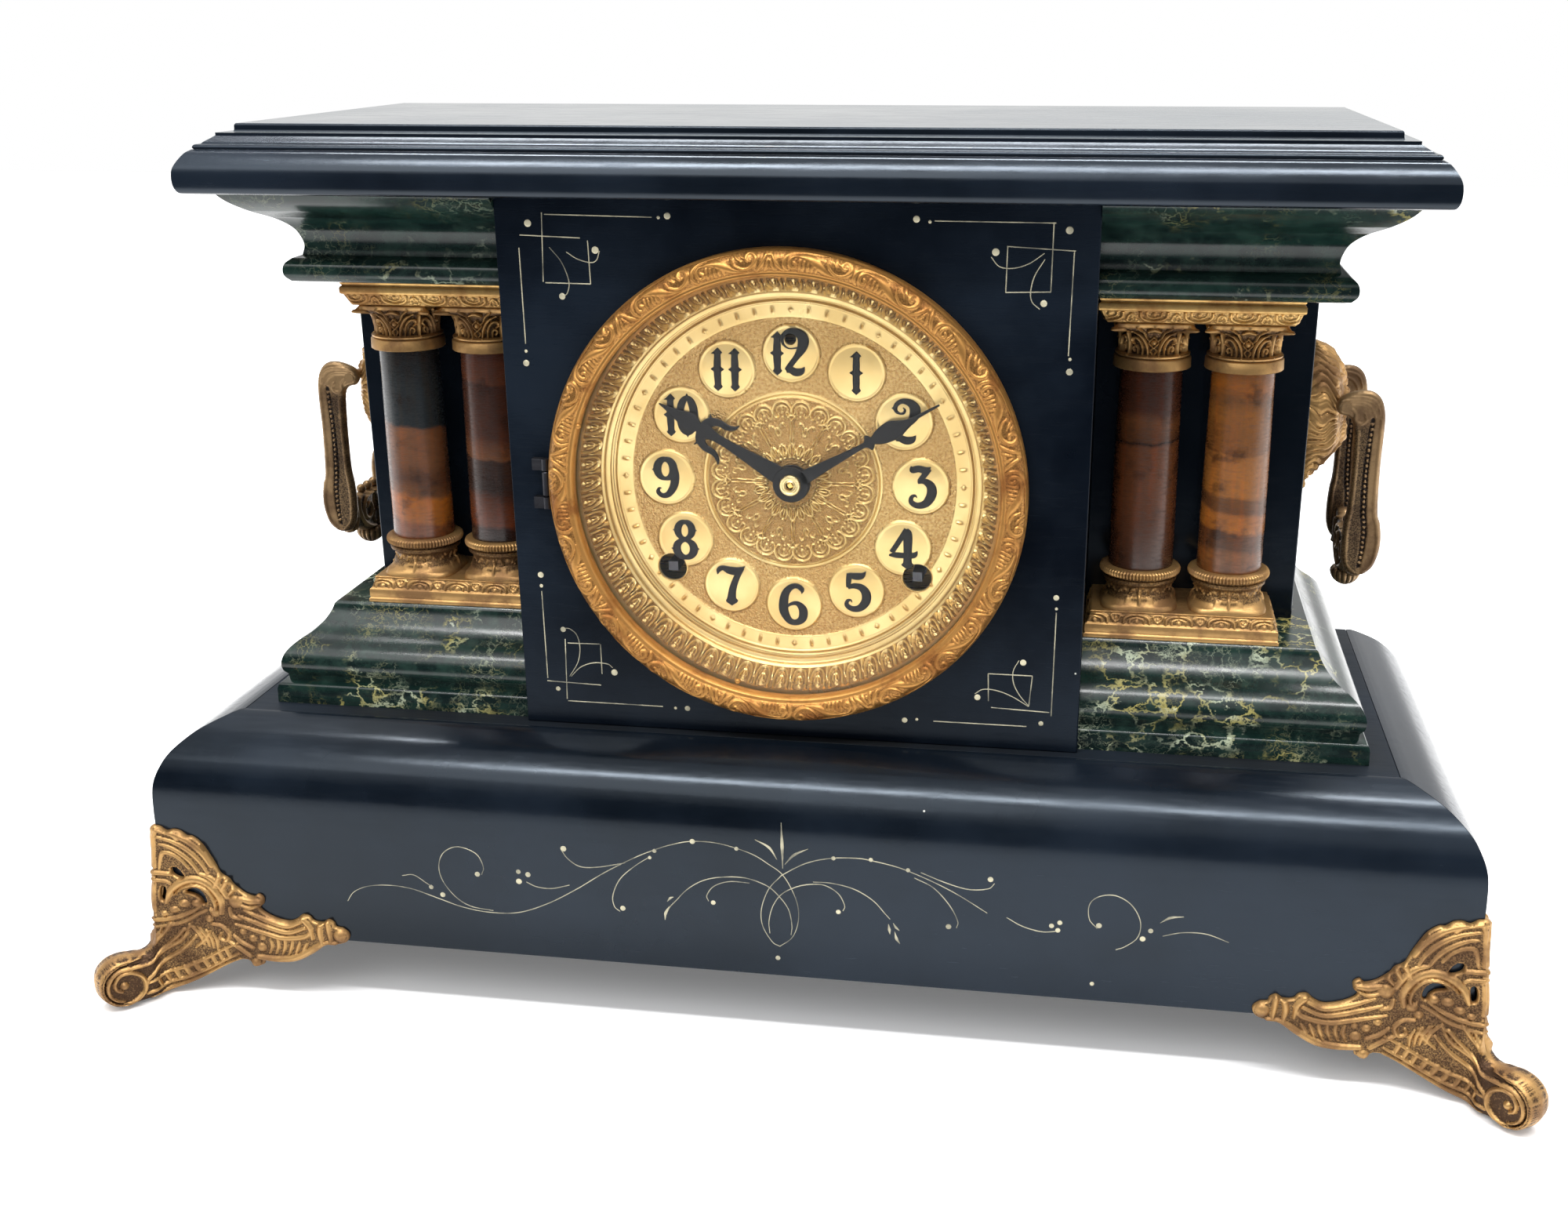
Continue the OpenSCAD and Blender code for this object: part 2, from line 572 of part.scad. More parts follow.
module gong() {
  turns = 4;
  yg = yend + 20;
  color(STEEL) at([10, -40]) {
    from_y(yg, yg + 3) {
      polygon(concat(
        [for (i = [0:turns * 30]) (gong_r - 4 * i / 30) * [cos(180 + 12 * i), sin(180 + 12 * i)]],
        [for (i = [turns * 30:-1:0]) (gong_r - 1.7 - 4 * i / 30) * [cos(180 + 12 * i), sin(180 + 12 * i)]]));
      translate([-gong_r + 4 * turns, -1]) square([gong_r - 4 * turns - 4, 2]);
    }
    rod(yg - 1, yg + 4, 5);
    rod(yg + 4, yg + 6, 3);
    z = z1 - zd + 40;
    box([-7, yg + 6, z], [7, yg + 13, 6]);
    box([-17, yg + 2, z], [17, yg + 18, z + 6]);
  }
}
module hammer() {
  yh = yend + 16;
  x0 = 10 - gong_r - 2 - 4 - HM[0];
  color(STEEL) at(HM) {
    rod(yfp + .2, yh + 2, 1.2);
    from_y(yh, yh + 2) polygon([[-1.6, -1.6], [1.6, -1.6], [x0 + 1, 20], [x0 - 1, 20]]);
    translate([x0, 0, 21]) rod(yh - 1, yh + 9, 4);
    from_y(yin + 27, yin + 28.2) polygon([[-1.6, 0], [1.6, 0], [6, 9], [4.6, 9.6]]);
  }
}
module cock() { at(VG) box([-4, yend, 1.3], [4, yend + 8, 5]); }

base_rail(0);  // base_front
base_rail(-1);  // base_left
base_rail(1);  // base_right
base_back();
base_deck();
wrap(-1, ped_prof, xp, yp, ped_h, z1);  // pedestal_left
wrap(1, ped_prof, xp, yp, ped_h, z1);  // pedestal_right
wrap(-1, frieze_prof, xf, yf, frieze_h, z3);  // frieze_left
wrap(1, frieze_prof, xf, yf, frieze_h, z3);  // frieze_right
wing(-1);  // wing_left
wing(1);  // wing_right
side_board(-1);  // side_left
side_board(1);  // side_right
top_board();
front_panel();
cheeks();
back_board();
back_door();
door_latch();
hardware();
foot(-1, -1);  // foot_front_left
foot(1, -1);  // foot_front_right
foot(-1, 1);  // foot_back_left
foot(1, 1);  // foot_back_right
plates(z2, false);  // plinth_plates
plates(z3 - plate_h, true);  // cap_plates
column_shafts();
capitals();
column_bases();
masks();
handle(-1);  // handle_left
handle(1);  // handle_right
bezel();
glass();
dial();
dial_centre();
hour_hand();
minute_hand();
hand_nut();
plate(yfp, false);  // plate_front
union() { plate(ybp, true); color(BRASS) cock(); }  // plate_back
pillars();
mainsprings();
great(GT, ST);  // great_time
second(ST, GT, [0, 0]);  // second_time
centre_arbor();
third_time();
escape_wheel();
wind(GT);  // wind_time
great(GS, SS);  // great_strike
second(SS, GS, CS);  // second_strike
cam_strike();
fly();
wind(GS);  // wind_strike
minute_wheel();
hour_wheel();
verge();
pendulum();
gong();
hammer();
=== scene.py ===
# %% [markdown]
# # A black mantel clock with columns, lion masks and a stamped gilt dial
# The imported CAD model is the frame: it fixes every size and every joint. This notebook
# dresses it. Most CAD nodes are replaced by finer surfaces worked out with numpy, and the
# rest of them get a better finish. Lengths are written in millimetres and turned into
# metres in one place, when the mesh is made.

# %% Load the frame
import math
import bmesh
import bpy
import numpy as np
from mathutils import Matrix, geometry


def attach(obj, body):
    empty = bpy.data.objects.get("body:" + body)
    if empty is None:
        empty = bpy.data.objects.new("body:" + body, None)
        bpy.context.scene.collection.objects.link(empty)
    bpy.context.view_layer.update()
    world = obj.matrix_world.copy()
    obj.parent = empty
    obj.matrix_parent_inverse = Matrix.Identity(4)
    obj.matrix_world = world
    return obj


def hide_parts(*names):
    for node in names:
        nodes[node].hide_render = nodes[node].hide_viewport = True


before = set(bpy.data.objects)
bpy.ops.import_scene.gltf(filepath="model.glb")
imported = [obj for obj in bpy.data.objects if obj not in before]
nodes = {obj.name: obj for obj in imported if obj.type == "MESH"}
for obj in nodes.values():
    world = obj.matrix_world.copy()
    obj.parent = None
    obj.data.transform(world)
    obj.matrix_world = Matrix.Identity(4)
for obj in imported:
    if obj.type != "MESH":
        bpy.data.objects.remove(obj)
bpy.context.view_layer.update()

# %% [markdown]
# ## Sizes that several pieces share
# These are the CAD model's own numbers. Keeping them in one place means that a piece made
# here always meets the node beside it.

# %% Shared sizes
XB, YB = 212.5, 79.6        # base: half its width, and its front and back
XP, YP = 180.0, 48.4        # pedestals: half the width over both, and their front
XF, YF = 177.0, 55.7        # friezes, the same two
XT, YT = 185.3, 65.1        # top board, the same two
Z0, Z1, Z3, Z4 = 23.4, 95.3, 236.5, 265.5  # undersides of base, pedestals, friezes and top
Z5 = 285.5                  # full height
XW, YWING = 158.0, 3.0      # sides of the case, and the wings behind the columns
PW, YPAN = 90.2, 52.0       # front panel: half its width, and its face
DX, DZ, YDIAL = -2.2, 177.4, 40.0  # middle of the dial, and the plane that it hangs on
BEZEL_R, PLATE_Y = 74.5, 31.5      # bezel's radius; front edge of the plates at the columns
COLUMNS, COL_Y = (-135.4, -107.4, 107.4, 135.4), -17.25
SHAFT_FOOT, SHAFT_TOP = 148.8, 212.7
MASK_Y, MASK_Z = 36.0, 188.5       # middle of the masks on the sides
BAIL_X, BAIL_Z = 171.5, 195.0      # pin that a handle swings on
HOUR, MINUTE = 300.0, 60.0  # degrees clockwise from the top: ten past ten
print("case", 2 * XB, "mm wide,", Z5, "mm high")

# %% [markdown]
# ## Making a mesh from numbers
# A grid of points is the plainest surface: rows and columns in two directions, joined by
# quads. `weave` makes those quads, `join` puts several surfaces into one mesh, and `piece`
# turns the result into an object that rides on its body and stands for its CAD nodes. The
# attribute "hollow" travels with the points: 0 on what is rubbed bright, 1 in a recess.

# %% Mesh helpers
def weave(rows, cols, round_rows=False, round_cols=False):
    """Quads between a grid of rows x cols points; a round direction joins its end to its start."""
    a, b = np.meshgrid(np.arange(rows if round_rows else rows - 1),
                       np.arange(cols if round_cols else cols - 1), indexing="ij")
    a2, b2 = (a + 1) % rows, (b + 1) % cols
    return np.stack([a * cols + b, a * cols + b2, a2 * cols + b2, a2 * cols + b], -1).reshape(-1, 4)


def capped(rows, cols):
    """Faces of a tube of rows x cols points: its quads and one many-sided face at either end."""
    first, last = range(cols - 1, -1, -1), range((rows - 1) * cols, rows * cols)
    return weave(rows, cols, round_cols=True).tolist() + [list(first), list(last)]


def join(parts):
    """Several (points, faces, hollow) become one: face numbers move up by the points before them."""
    points, faces, hollow, n = [], [], [], 0
    for p, f, h in parts:
        p = np.asarray(p, float).reshape(-1, 3)
        faces += [[i + n for i in face] for face in (f.tolist() if hasattr(f, "tolist") else f)]
        points.append(p)
        hollow.append(np.broadcast_to(np.asarray(h, float).ravel(), len(p)))
        n += len(p)
    return np.concatenate(points), faces, np.concatenate(hollow)


print("a tube of 3 rows and 8 columns has", len(capped(3, 8)), "faces")


# %% Pieces
def piece(name, parts, material, body="case", stands_for=(), sharp=38, extra=None):
    """Joined surfaces in millimetres become an object in metres at the origin, riding on body."""
    points, faces, hollow = join(parts)
    mesh = bpy.data.meshes.new(name)
    mesh.from_pydata(points * 0.001, [], faces)
    shell = bmesh.new()
    shell.from_mesh(mesh)
    bmesh.ops.recalc_face_normals(shell, faces=shell.faces)
    shell.to_mesh(mesh)
    shell.free()
    for key, values in {"hollow": hollow, **(extra or {})}.items():
        values = np.asarray(values, np.float32).ravel()
        mesh.attributes.new(key, "FLOAT", "POINT").data.foreach_set("value", values)
    mesh.polygons.foreach_set("use_smooth", np.ones(len(mesh.polygons), bool))
    mesh.set_sharp_from_angle(angle=math.radians(sharp))
    mesh.materials.append(material)
    mesh.validate()
    thing = bpy.data.objects.new(name, mesh)
    bpy.context.scene.collection.objects.link(thing)
    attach(thing, body)
    if stands_for:
        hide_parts(*([stands_for] if isinstance(stands_for, str) else stands_for))
    print(f"{name}: {len(points)} points, {len(faces)} faces")
    return thing


# %% Curves, bumps and steps
def curve(points, n=40, closed=False):
    """A Catmull-Rom curve: each span blends its two ends and the slopes set by their neighbours."""
    p = np.asarray(points, float)
    ends = (p[-1], p[0], p[1]) if closed else (2 * p[0] - p[1], 2 * p[-1] - p[-2])
    p = np.vstack([ends[0], p, *ends[1:]])
    spans = len(p) - 3
    t = np.linspace(0, spans, n, endpoint=not closed)
    k = np.minimum(t.astype(int), spans - 1)
    t = (t - k)[:, None]
    a, b, c, d = p[k], p[k + 1], p[k + 2], p[k + 3]
    bend, twist = 2 * a - 5 * b + 4 * c - d, 3 * b - a - 3 * c + d
    return 0.5 * (2 * b + (c - a) * t + bend * t ** 2 + twist * t ** 3)


def hill(x):
    """A smooth bump, 1 at 0 and 0 beyond 1: (1 - x squared) squared."""
    return np.clip(1 - np.asarray(x) ** 2, 0, 1) ** 2


def step(x, lo, hi):
    """A smooth step from 0 at lo to 1 at hi: 3t squared less 2t cubed."""
    t = np.clip((np.asarray(x) - lo) / (hi - lo), 0, 1)
    return t * t * (3 - 2 * t)


print("a quarter of the way up, a step is", step(0.25, 0, 1))

# %% [markdown]
# ## Finishes
# Every finish is worked out from Object coordinates, in metres, so it needs no picture and
# follows the piece when it moves. Colours are written as the eye sees them, 0 to 255.
# Effects that several finishes share are node groups, which put out only colours and masks.

# %% Colour and node helpers
def seen(r, g, b):
    """A displayed colour, 0 to 255 each, in the linear numbers that nodes use."""
    c = np.array([r, g, b]) / 255.0
    c = np.where(c <= 0.04045, c / 12.92, ((c + 0.055) / 1.055) ** 2.4)
    return (*map(float, c), 1.0)


def connect(tree, socket, value):
    """Links another node's output to the socket, or sets the socket's own value."""
    if isinstance(value, bpy.types.NodeSocket):
        tree.links.new(value, socket)
    else:
        socket.default_value = value


def add(tree, kind, _out=0, **settings):
    """A node with its settings: a property, a socket's name, or a, b and c for the first
    sockets. Gives one of its outputs."""
    node = tree.nodes.new("ShaderNode" + kind)
    for key, value in settings.items():
        if hasattr(node, key) and key not in ("a", "b", "c"):
            setattr(node, key, value)
            continue
        socket = "abc".index(key) if key in ("a", "b", "c") else key.replace("_", " ")
        connect(tree, node.inputs[socket], value)
    return node.outputs[_out]


def plus(tree, a, b):
    """The sum of two values."""
    return add(tree, "Math", operation="ADD", a=a, b=b)


def times(tree, a, b):
    """The product of two values."""
    return add(tree, "Math", operation="MULTIPLY", a=a, b=b)


def times_plus(tree, a, b, c):
    """a times b, plus c."""
    return add(tree, "Math", operation="MULTIPLY_ADD", a=a, b=b, c=c)


def mix(tree, amount, first, second, blend="MIX"):
    """Colour first and colour second blended by amount."""
    node = tree.nodes.new("ShaderNodeMix")
    node.data_type, node.blend_type = "RGBA", blend
    for place, value in ((0, amount), (6, first), (7, second)):
        connect(tree, node.inputs[place], value)
    return node.outputs[2]


def between(tree, value, lo, hi, to_lo=0.0, to_hi=1.0):
    """Value carried from the range lo..hi to to_lo..to_hi and held at both ends, with a smooth turn."""
    return add(tree, "MapRange", interpolation_type="SMOOTHSTEP", Value=value,
               From_Min=lo, From_Max=hi, To_Min=to_lo, To_Max=to_hi)


def spots(tree, stretch=(1, 1, 1), turn=(0, 0, 0)):
    """Object coordinates, turned and stretched for a pattern."""
    return add(tree, "Mapping", Vector=add(tree, "TexCoord", 3), Scale=stretch, Rotation=turn)


def noise(tree, where, scale, detail=4.0, rough=0.5, warp=0.0, _out=0):
    """Cloudy noise of so many lumps a metre."""
    return add(tree, "TexNoise", _out, Vector=where, Scale=scale, Detail=detail, Roughness=rough,
               Distortion=warp)


print("displayed grey 128 is", round(seen(128, 128, 128)[0], 3), "in linear numbers")


# %% Materials and node groups
def finish(name, **plain):
    """A material with its Principled shader; constant values stay on the shader's own sockets."""
    m = bpy.data.materials.new(name)
    m.use_nodes = True
    tree = m.node_tree
    shader = tree.nodes["Principled BSDF"]
    for key, value in plain.items():
        shader.inputs[key.replace("_", " ")].default_value = value
    return m, tree, shader


def feed(tree, shader, **sockets):
    """Links values that change over the surface to the shader; height goes through a Bump node."""
    for key, value in sockets.items():
        if key == "height":
            strength, distance, value = value
            value = add(tree, "Bump", Strength=strength, Distance=distance, Height=value)
            tree.links.new(value, shader.inputs["Normal"])
        else:
            tree.links.new(value, shader.inputs[key.replace("_", " ")])


def group(name, inputs, outputs):
    """An empty node group with named sockets; gives its tree and the sockets of its two ends."""
    tree = bpy.data.node_groups.new(name, "ShaderNodeTree")
    kinds = {"c": "NodeSocketColor", "f": "NodeSocketFloat", "v": "NodeSocketVector"}
    for key, kind in inputs.items():
        tree.interface.new_socket(key, in_out="INPUT", socket_type=kinds[kind])
    for key, kind in outputs.items():
        tree.interface.new_socket(key, in_out="OUTPUT", socket_type=kinds[kind])
    return tree, tree.nodes.new("NodeGroupInput").outputs, tree.nodes.new("NodeGroupOutput").inputs


def use(tree, made, **values):
    """A node group placed in a material; gives its outputs."""
    node = tree.nodes.new("ShaderNodeGroup")
    node.node_tree = made
    for key, value in values.items():
        connect(tree, node.inputs[key], value)
    return node.outputs

# %% [markdown]
# ### Wear on castings
# A cast mount is bright where hands and dusters rub it and brown in its recesses. The
# recesses are known from the modelling itself, as the attribute "hollow"; clouds of noise
# break the gilding up, so that some parts have lost more of it than others.

# %% Wear group
wear, w_in, w_out = group("casting_wear",
    {"Bright": "c", "Middle": "c", "Deep": "c", "Lumps": "f", "Loss": "f"},
    {"Colour": "c", "Roughness": "f", "Height": "f"})
w_hollow = add(wear, "Attribute", 2, attribute_name="hollow")
w_where = spots(wear)
w_cloud = noise(wear, w_where, w_in["Lumps"], 6.0, 0.62)
w_fine = noise(wear, w_where, 1900.0, 3.0, 0.6)
w_deep = between(wear, plus(wear, w_hollow, between(wear, w_fine, 0.3, 0.7, -0.16, 0.16)), 0.22, 0.85)
w_lost = between(wear, plus(wear, w_cloud, w_in["Loss"]), 0.47, 0.66)
w_top = mix(wear, w_lost, w_in["Bright"], w_in["Middle"])
w_all = mix(wear, w_deep, w_top, w_in["Deep"])
wear.links.new(w_all, w_out["Colour"])
w_rough = times_plus(wear, w_lost, 0.16, between(wear, w_fine, 0.3, 0.7, 0.36, 0.48))
wear.links.new(w_rough, w_out["Roughness"])
wear.links.new(times_plus(wear, w_cloud, 0.7, w_fine), w_out["Height"])
print("group", wear.name)


# %% Castings
def casting_finish(name, bright, middle, deep, lumps=60.0, loss=0.0, metal=0.8, bump=0.25):
    """Gilt or bronzed metal from the wear group."""
    m, t, s = finish(name, Metallic=metal)
    out = use(t, wear, Bright=bright, Middle=middle, Deep=deep, Lumps=lumps, Loss=loss)
    feed(t, s, Base_Color=out["Colour"], Roughness=out["Roughness"], height=(bump, 0.0002, out["Height"]))
    return m


gilt = casting_finish("gilt_casting", seen(216, 176, 110), seen(168, 126, 76), seen(74, 48, 28), 55.0, 0.02)
gilt_brown = casting_finish("bronzed_casting", seen(178, 140, 88), seen(134, 101, 66), seen(62, 43, 28),
                            70.0, 0.05)
bronzed = casting_finish("bronzed_handle", seen(150, 122, 86), seen(104, 80, 56), seen(32, 23, 18), 50.0,
                         0.05, 0.7)
copper = casting_finish("coppery_bezel", seen(182, 132, 70), seen(144, 94, 46), seen(84, 50, 24), 90.0,
                        -0.02)
print("castings:", gilt.name, gilt_brown.name, bronzed.name, copper.name)

# %% [markdown]
# ### Stamped dial brass
# The dial is one thin sheet, stamped and lacquered. Its ground is stippled as fine as sand,
# its discs and rings are smooth. The attribute "grain" says where the stipple is.

# %% Dial brass
dial_brass, t, s = finish("stamped_brass", Metallic=0.82)
grain_here = add(t, "Attribute", 2, attribute_name="grain")
hollow_here = add(t, "Attribute", 2, attribute_name="hollow")
where = spots(t)
sand = add(t, "TexVoronoi", 0, Vector=where, Scale=1700.0, Randomness=0.8)
cloud = noise(t, where, 45.0, 5.0, 0.6)
tone = mix(t, between(t, cloud, 0.35, 0.65), seen(208, 182, 126), seen(194, 164, 106))
pits = between(t, noise(t, where, 1100.0, 2.0), 0.35, 0.65, 0.5, 1.0)
tone = mix(t, times(t, grain_here, pits), tone, seen(158, 122, 72))
tone = mix(t, between(t, hollow_here, 0.15, 1.0), tone, seen(116, 78, 34))
rough = times_plus(t, grain_here, 0.12, between(t, cloud, 0.3, 0.7, 0.27, 0.36))
stipple = times(t, sand, grain_here)
feed(t, s, Base_Color=tone, Roughness=rough, height=(0.8, 0.0004, stipple))
print("dial:", dial_brass.name)

# %% [markdown]
# ### Black enamelled wood
# The case is wood under glossy black enamel that passes for slate. It is nearly black with
# a trace of blue, its gloss is a little uneven, and a few pale specks show where it is
# chipped. On the flat top, faces that look up are painted a noisy grey and made rougher: a painted
# sheen that stands for the reflection of the bright room.

# %% Enamel
specks, p_in, p_out = group("pale_specks", {"Few": "f"}, {"Mask": "f"})
p_near, p_pick = (add(specks, "TexVoronoi", k, Vector=spots(specks), Scale=90.0) for k in (0, 1))
p_chance = add(specks, "SeparateColor", Color=p_pick)
p_gate = add(specks, "Math", operation="GREATER_THAN", a=p_chance, b=p_in["Few"])
specks.links.new(times(specks, p_gate, between(specks, p_near, 0.05, 0.03)), p_out["Mask"])
print("group", specks.name)


# %% Enamels
def enamel_finish(name, tint, clean, painted_sheen=0.0, gloss=0.24):
    """Glossy black enamel: tint is its colour, clean its roughness where it is bright, and painted_sheen
    the share of a grey film painted on faces that look up, a painted sheen for the reflection of the room."""
    m, t, s = finish(name, Specular_IOR_Level=gloss, Specular_Tint=seen(220, 235, 250))
    where = spots(t)
    cloud = noise(t, where, 9.0, 5.0, 0.6)
    haze = noise(t, spots(t, (6, 60, 60)), 12.0, 4.0, 0.6)
    colour = mix(t, between(t, cloud, 0.35, 0.68), tint, seen(20, 27, 36))
    colour = mix(t, use(t, specks, Few=0.965)["Mask"], colour, seen(205, 206, 196))
    rough = plus(t, between(t, cloud, 0.3, 0.7, clean, clean + 0.08),
                between(t, haze, 0.4, 0.75, 0.0, 0.07))
    # painted sheen: faces that look up are painted grey and made rougher, for the reflection of the bright
    # room
    if painted_sheen:
        up = add(t, "SeparateXYZ", 2, Vector=add(t, "NewGeometry", 1))
        sheen_film = times(t, between(t, up, 0.96, 0.999),
                   between(t, noise(t, where, 14.0, 6.0, 0.65), 0.25, 0.7, painted_sheen * 0.8, painted_sheen))
        colour = mix(t, sheen_film, colour, seen(208, 212, 210))
        rough = times_plus(t, sheen_film, 0.2, rough)
    feed(t, s, Base_Color=colour, Roughness=rough,
         height=(0.06, 0.0004, noise(t, where, 260.0, 3.0, 0.5)))
    return m


enamel = enamel_finish("black_enamel", seen(7, 12, 18), 0.14, gloss=0.3)
# painted shade: a darker, less glossy copy of the same enamel, for the front panel and cheeks
enamel_shaded = enamel_finish("black_enamel_panel_shaded", seen(3, 6, 13), 0.2, gloss=0.14)
# the top's copy of the enamel is painted a little lighter, a lit copy, and gets the painted sheen
enamel_top = enamel_finish("black_enamel_sheened", seen(9, 14, 20), 0.14, 0.14, gloss=0.45)
enamel_dull = enamel_finish("black_paint_inside", seen(16, 17, 18), 0.55)
print("enamels:", enamel.name, enamel_shaded.name, enamel_top.name, enamel_dull.name)

# %% [markdown]
# ### Green marbled mouldings
# Verde antico is dark green with a crackle of white and gold veins. A Voronoi texture set
# to "distance to edge" gives the crackle; bending its coordinates with noise keeps the
# cells from looking like tiles, and a second, finer one adds the hairlines.

# %% Marble
def marble_finish(name, strength, size):
    """Green with veins: strength says how bright and how many, size the cells in a metre."""
    m, t, s = finish(name, Specular_IOR_Level=0.4)
    where = spots(t, (1.0, 1.0, 1.25))
    bend = add(t, "VectorMath", operation="MULTIPLY_ADD", a=noise(t, where, size * 0.7, 5.0, 0.65, _out=1),
               b=(0.02, 0.02, 0.02), c=where)
    big = add(t, "TexVoronoi", 0, feature="DISTANCE_TO_EDGE", Vector=bend, Scale=size)
    small = add(t, "TexVoronoi", 0, feature="DISTANCE_TO_EDGE", Vector=bend, Scale=size * 2.3)
    cloud = noise(t, where, size * 0.3, 5.0, 0.62)
    other = noise(t, spots(t, (1.3, 1.0, 1.0)), size * 0.42, 4.0, 0.6)
    veins = times(t, between(t, big, 0.075, 0.012),
                  between(t, cloud, 0.58 - 0.1 * strength, 0.68 - 0.06 * strength))
    hairs = times(t, between(t, small, 0.07, 0.01),
                  between(t, other, 0.5 - 0.04 * strength, 0.68, 0.0, 0.8))
    patch = times(t, between(t, noise(t, bend, size * 0.8, 4.0, 0.6), 0.62, 0.7),
                  between(t, cloud, 0.56, 0.64, 0.0, strength))
    lumps = between(t, noise(t, where, size * 1.1, 6.0, 0.7), 0.38, 0.72)
    streaks = between(t, noise(t, spots(t, (8, 60, 170)), 3.0, 5.0, 0.6), 0.45, 0.62, 0.0, 0.5)
    ground = mix(t, lumps, seen(11, 23, 22), seen(32, 50, 44))
    ground = mix(t, streaks, ground, seen(16, 40, 34))
    vein = mix(t, between(t, noise(t, where, 55.0, 3.0), 0.4, 0.6), seen(176, 186, 160), seen(162, 152, 88))
    colour = mix(t, times(t, hairs, 0.42 * strength), ground, vein)
    colour = mix(t, times(t, veins, 0.36 + 0.4 * strength), colour, vein)
    colour = mix(t, patch, colour, seen(196, 202, 178))
    feed(t, s, Base_Color=colour, Roughness=between(t, cloud, 0.3, 0.7, 0.16, 0.27),
         height=(0.08, 0.0003, noise(t, where, 300.0, 3.0)))
    return m


marble_low = marble_finish("green_marble_pedestal", 1.0, 118.0)
marble_high = marble_finish("green_marble_frieze", 0.5, 96.0)
print("marbles:", marble_low.name, marble_high.name)

# %% [markdown]
# ### Banded shafts
# The four column shafts are veneered to look like brown marble cut across its beds: fine
# level grain, soft stains and a few sharp bed lines at heights of their own. Each shaft gets
# a colour ramp along its height, and noise tilts and frays the bed lines.

# %% Shaft finish
FRAY = 6.0  # how far noise moves a bed line up or down, all told


def shaft_finish(name, beds, x, tilt, seed):
    """Beds are (share of the height, colour) of the shaft at x, and rise by tilt across it; seed
    shifts the noise so that no two shafts match."""
    m, t, s = finish(name, Specular_IOR_Level=0.5)
    where = spots(t)
    moved = add(t, "Mapping", Vector=where, Location=(seed, seed, 0))
    across, height = (add(t, "SeparateXYZ", k, Vector=where) for k in (0, 2))
    frayed = times_plus(t, noise(t, moved, 70.0, 5.0, 0.6), 0.001 * FRAY, height)
    low, high = (0.001 * (z + FRAY / 2 + tilt * x) for z in (SHAFT_FOOT, SHAFT_TOP))
    ramp = t.nodes.new("ShaderNodeValToRGB")
    t.links.new(add(t, "MapRange", Value=times_plus(t, across, tilt, frayed), From_Min=low, From_Max=high),
                ramp.inputs[0])
    while len(ramp.color_ramp.elements) < len(beds):
        ramp.color_ramp.elements.new(0.5)
    for element, (place, colour) in zip(ramp.color_ramp.elements, beds):
        element.position, element.color = place, seen(*colour)
    grain = noise(t, add(t, "Mapping", Vector=moved, Scale=(60, 60, 330)), 5.0, 5.0, 0.75)
    highlight_bands = noise(t, add(t, "Mapping", Vector=moved, Scale=(240, 240, 14)), 2.0, 3.0, 0.6)
    bed = ramp.outputs[0]
    colour = mix(t, between(t, grain, 0.42, 0.7, 0.0, 0.45), bed,
                 mix(t, 1.0, bed, seen(126, 112, 104), "MULTIPLY"))
    # painted highlight: narrow upright bands are lightened with a pale warm colour, for the gloss streaks
    # that run up the shafts
    colour = mix(t, between(t, highlight_bands, 0.4, 0.75, 0.0, 0.5), colour,
                 mix(t, 1.0, colour, seen(250, 205, 160), "SOFT_LIGHT"))
    stain = noise(t, moved, 120.0, 4.0, 0.65)
    colour = mix(t, between(t, stain, 0.5, 0.72, 0.0, 0.7), colour, seen(40, 26, 20))
    colour = mix(t, 1.0, colour, seen(198, 192, 178), "MULTIPLY")
    feed(t, s, Base_Color=colour, Roughness=between(t, grain, 0.3, 0.8, 0.2, 0.42),
         height=(0.12, 0.0002, grain))
    return m


BEDS = ([(0, (112, 66, 40)), (.08, (122, 72, 42)), (.1, (150, 92, 40)), (.22, (166, 100, 40)),
         (.25, (116, 78, 52)), (.33, (84, 56, 42)), (.42, (112, 76, 54)), (.6, (124, 84, 60)),
         (.615, (44, 52, 60)), (.8, (46, 54, 62)), (1, (36, 38, 42))],
        [(0, (44, 30, 28)), (.06, (52, 32, 28)), (.09, (104, 56, 34)), (.22, (88, 50, 34)),
         (.28, (54, 40, 38)), (.44, (58, 42, 38)), (.455, (112, 74, 50)), (.52, (100, 64, 46)),
         (.56, (78, 48, 38)), (.84, (74, 46, 38)), (.85, (96, 58, 42)), (1, (84, 50, 40))],
        [(0, (70, 46, 36)), (.2, (84, 52, 36)), (.4, (96, 58, 36)), (.63, (100, 60, 36)),
         (.645, (48, 32, 26)), (.66, (88, 56, 36)), (.75, (108, 68, 40)), (.8, (72, 42, 30)),
         (1, (66, 38, 28))],
        [(0, (118, 76, 42)), (.1, (124, 80, 44)), (.13, (88, 58, 38)), (.2, (100, 64, 40)),
         (.22, (164, 104, 46)), (.3, (156, 98, 46)), (.32, (104, 68, 42)), (.38, (112, 74, 44)),
         (.4, (156, 102, 50)), (.6, (160, 106, 56)), (.61, (132, 86, 46)), (.8, (150, 98, 48)),
         (.86, (124, 84, 50)), (.93, (156, 96, 40)), (1, (132, 88, 46))])
shaft_skins = [shaft_finish(f"banded_shaft_{k + 1}", beds, COLUMNS[k], 0.14 if k < 2 else 0.05, 1.0 + 3 * k)
               for k, beds in enumerate(BEDS)]
print("shafts:", [skin.name for skin in shaft_skins])

# %% [markdown]
# ### Plain metals, wood and paint
# The movement is brass and steel with the fine scratches of cleaning, the gong is blued
# steel, the hands and numerals are black. The back is thin stained wood with its grain
# upright.

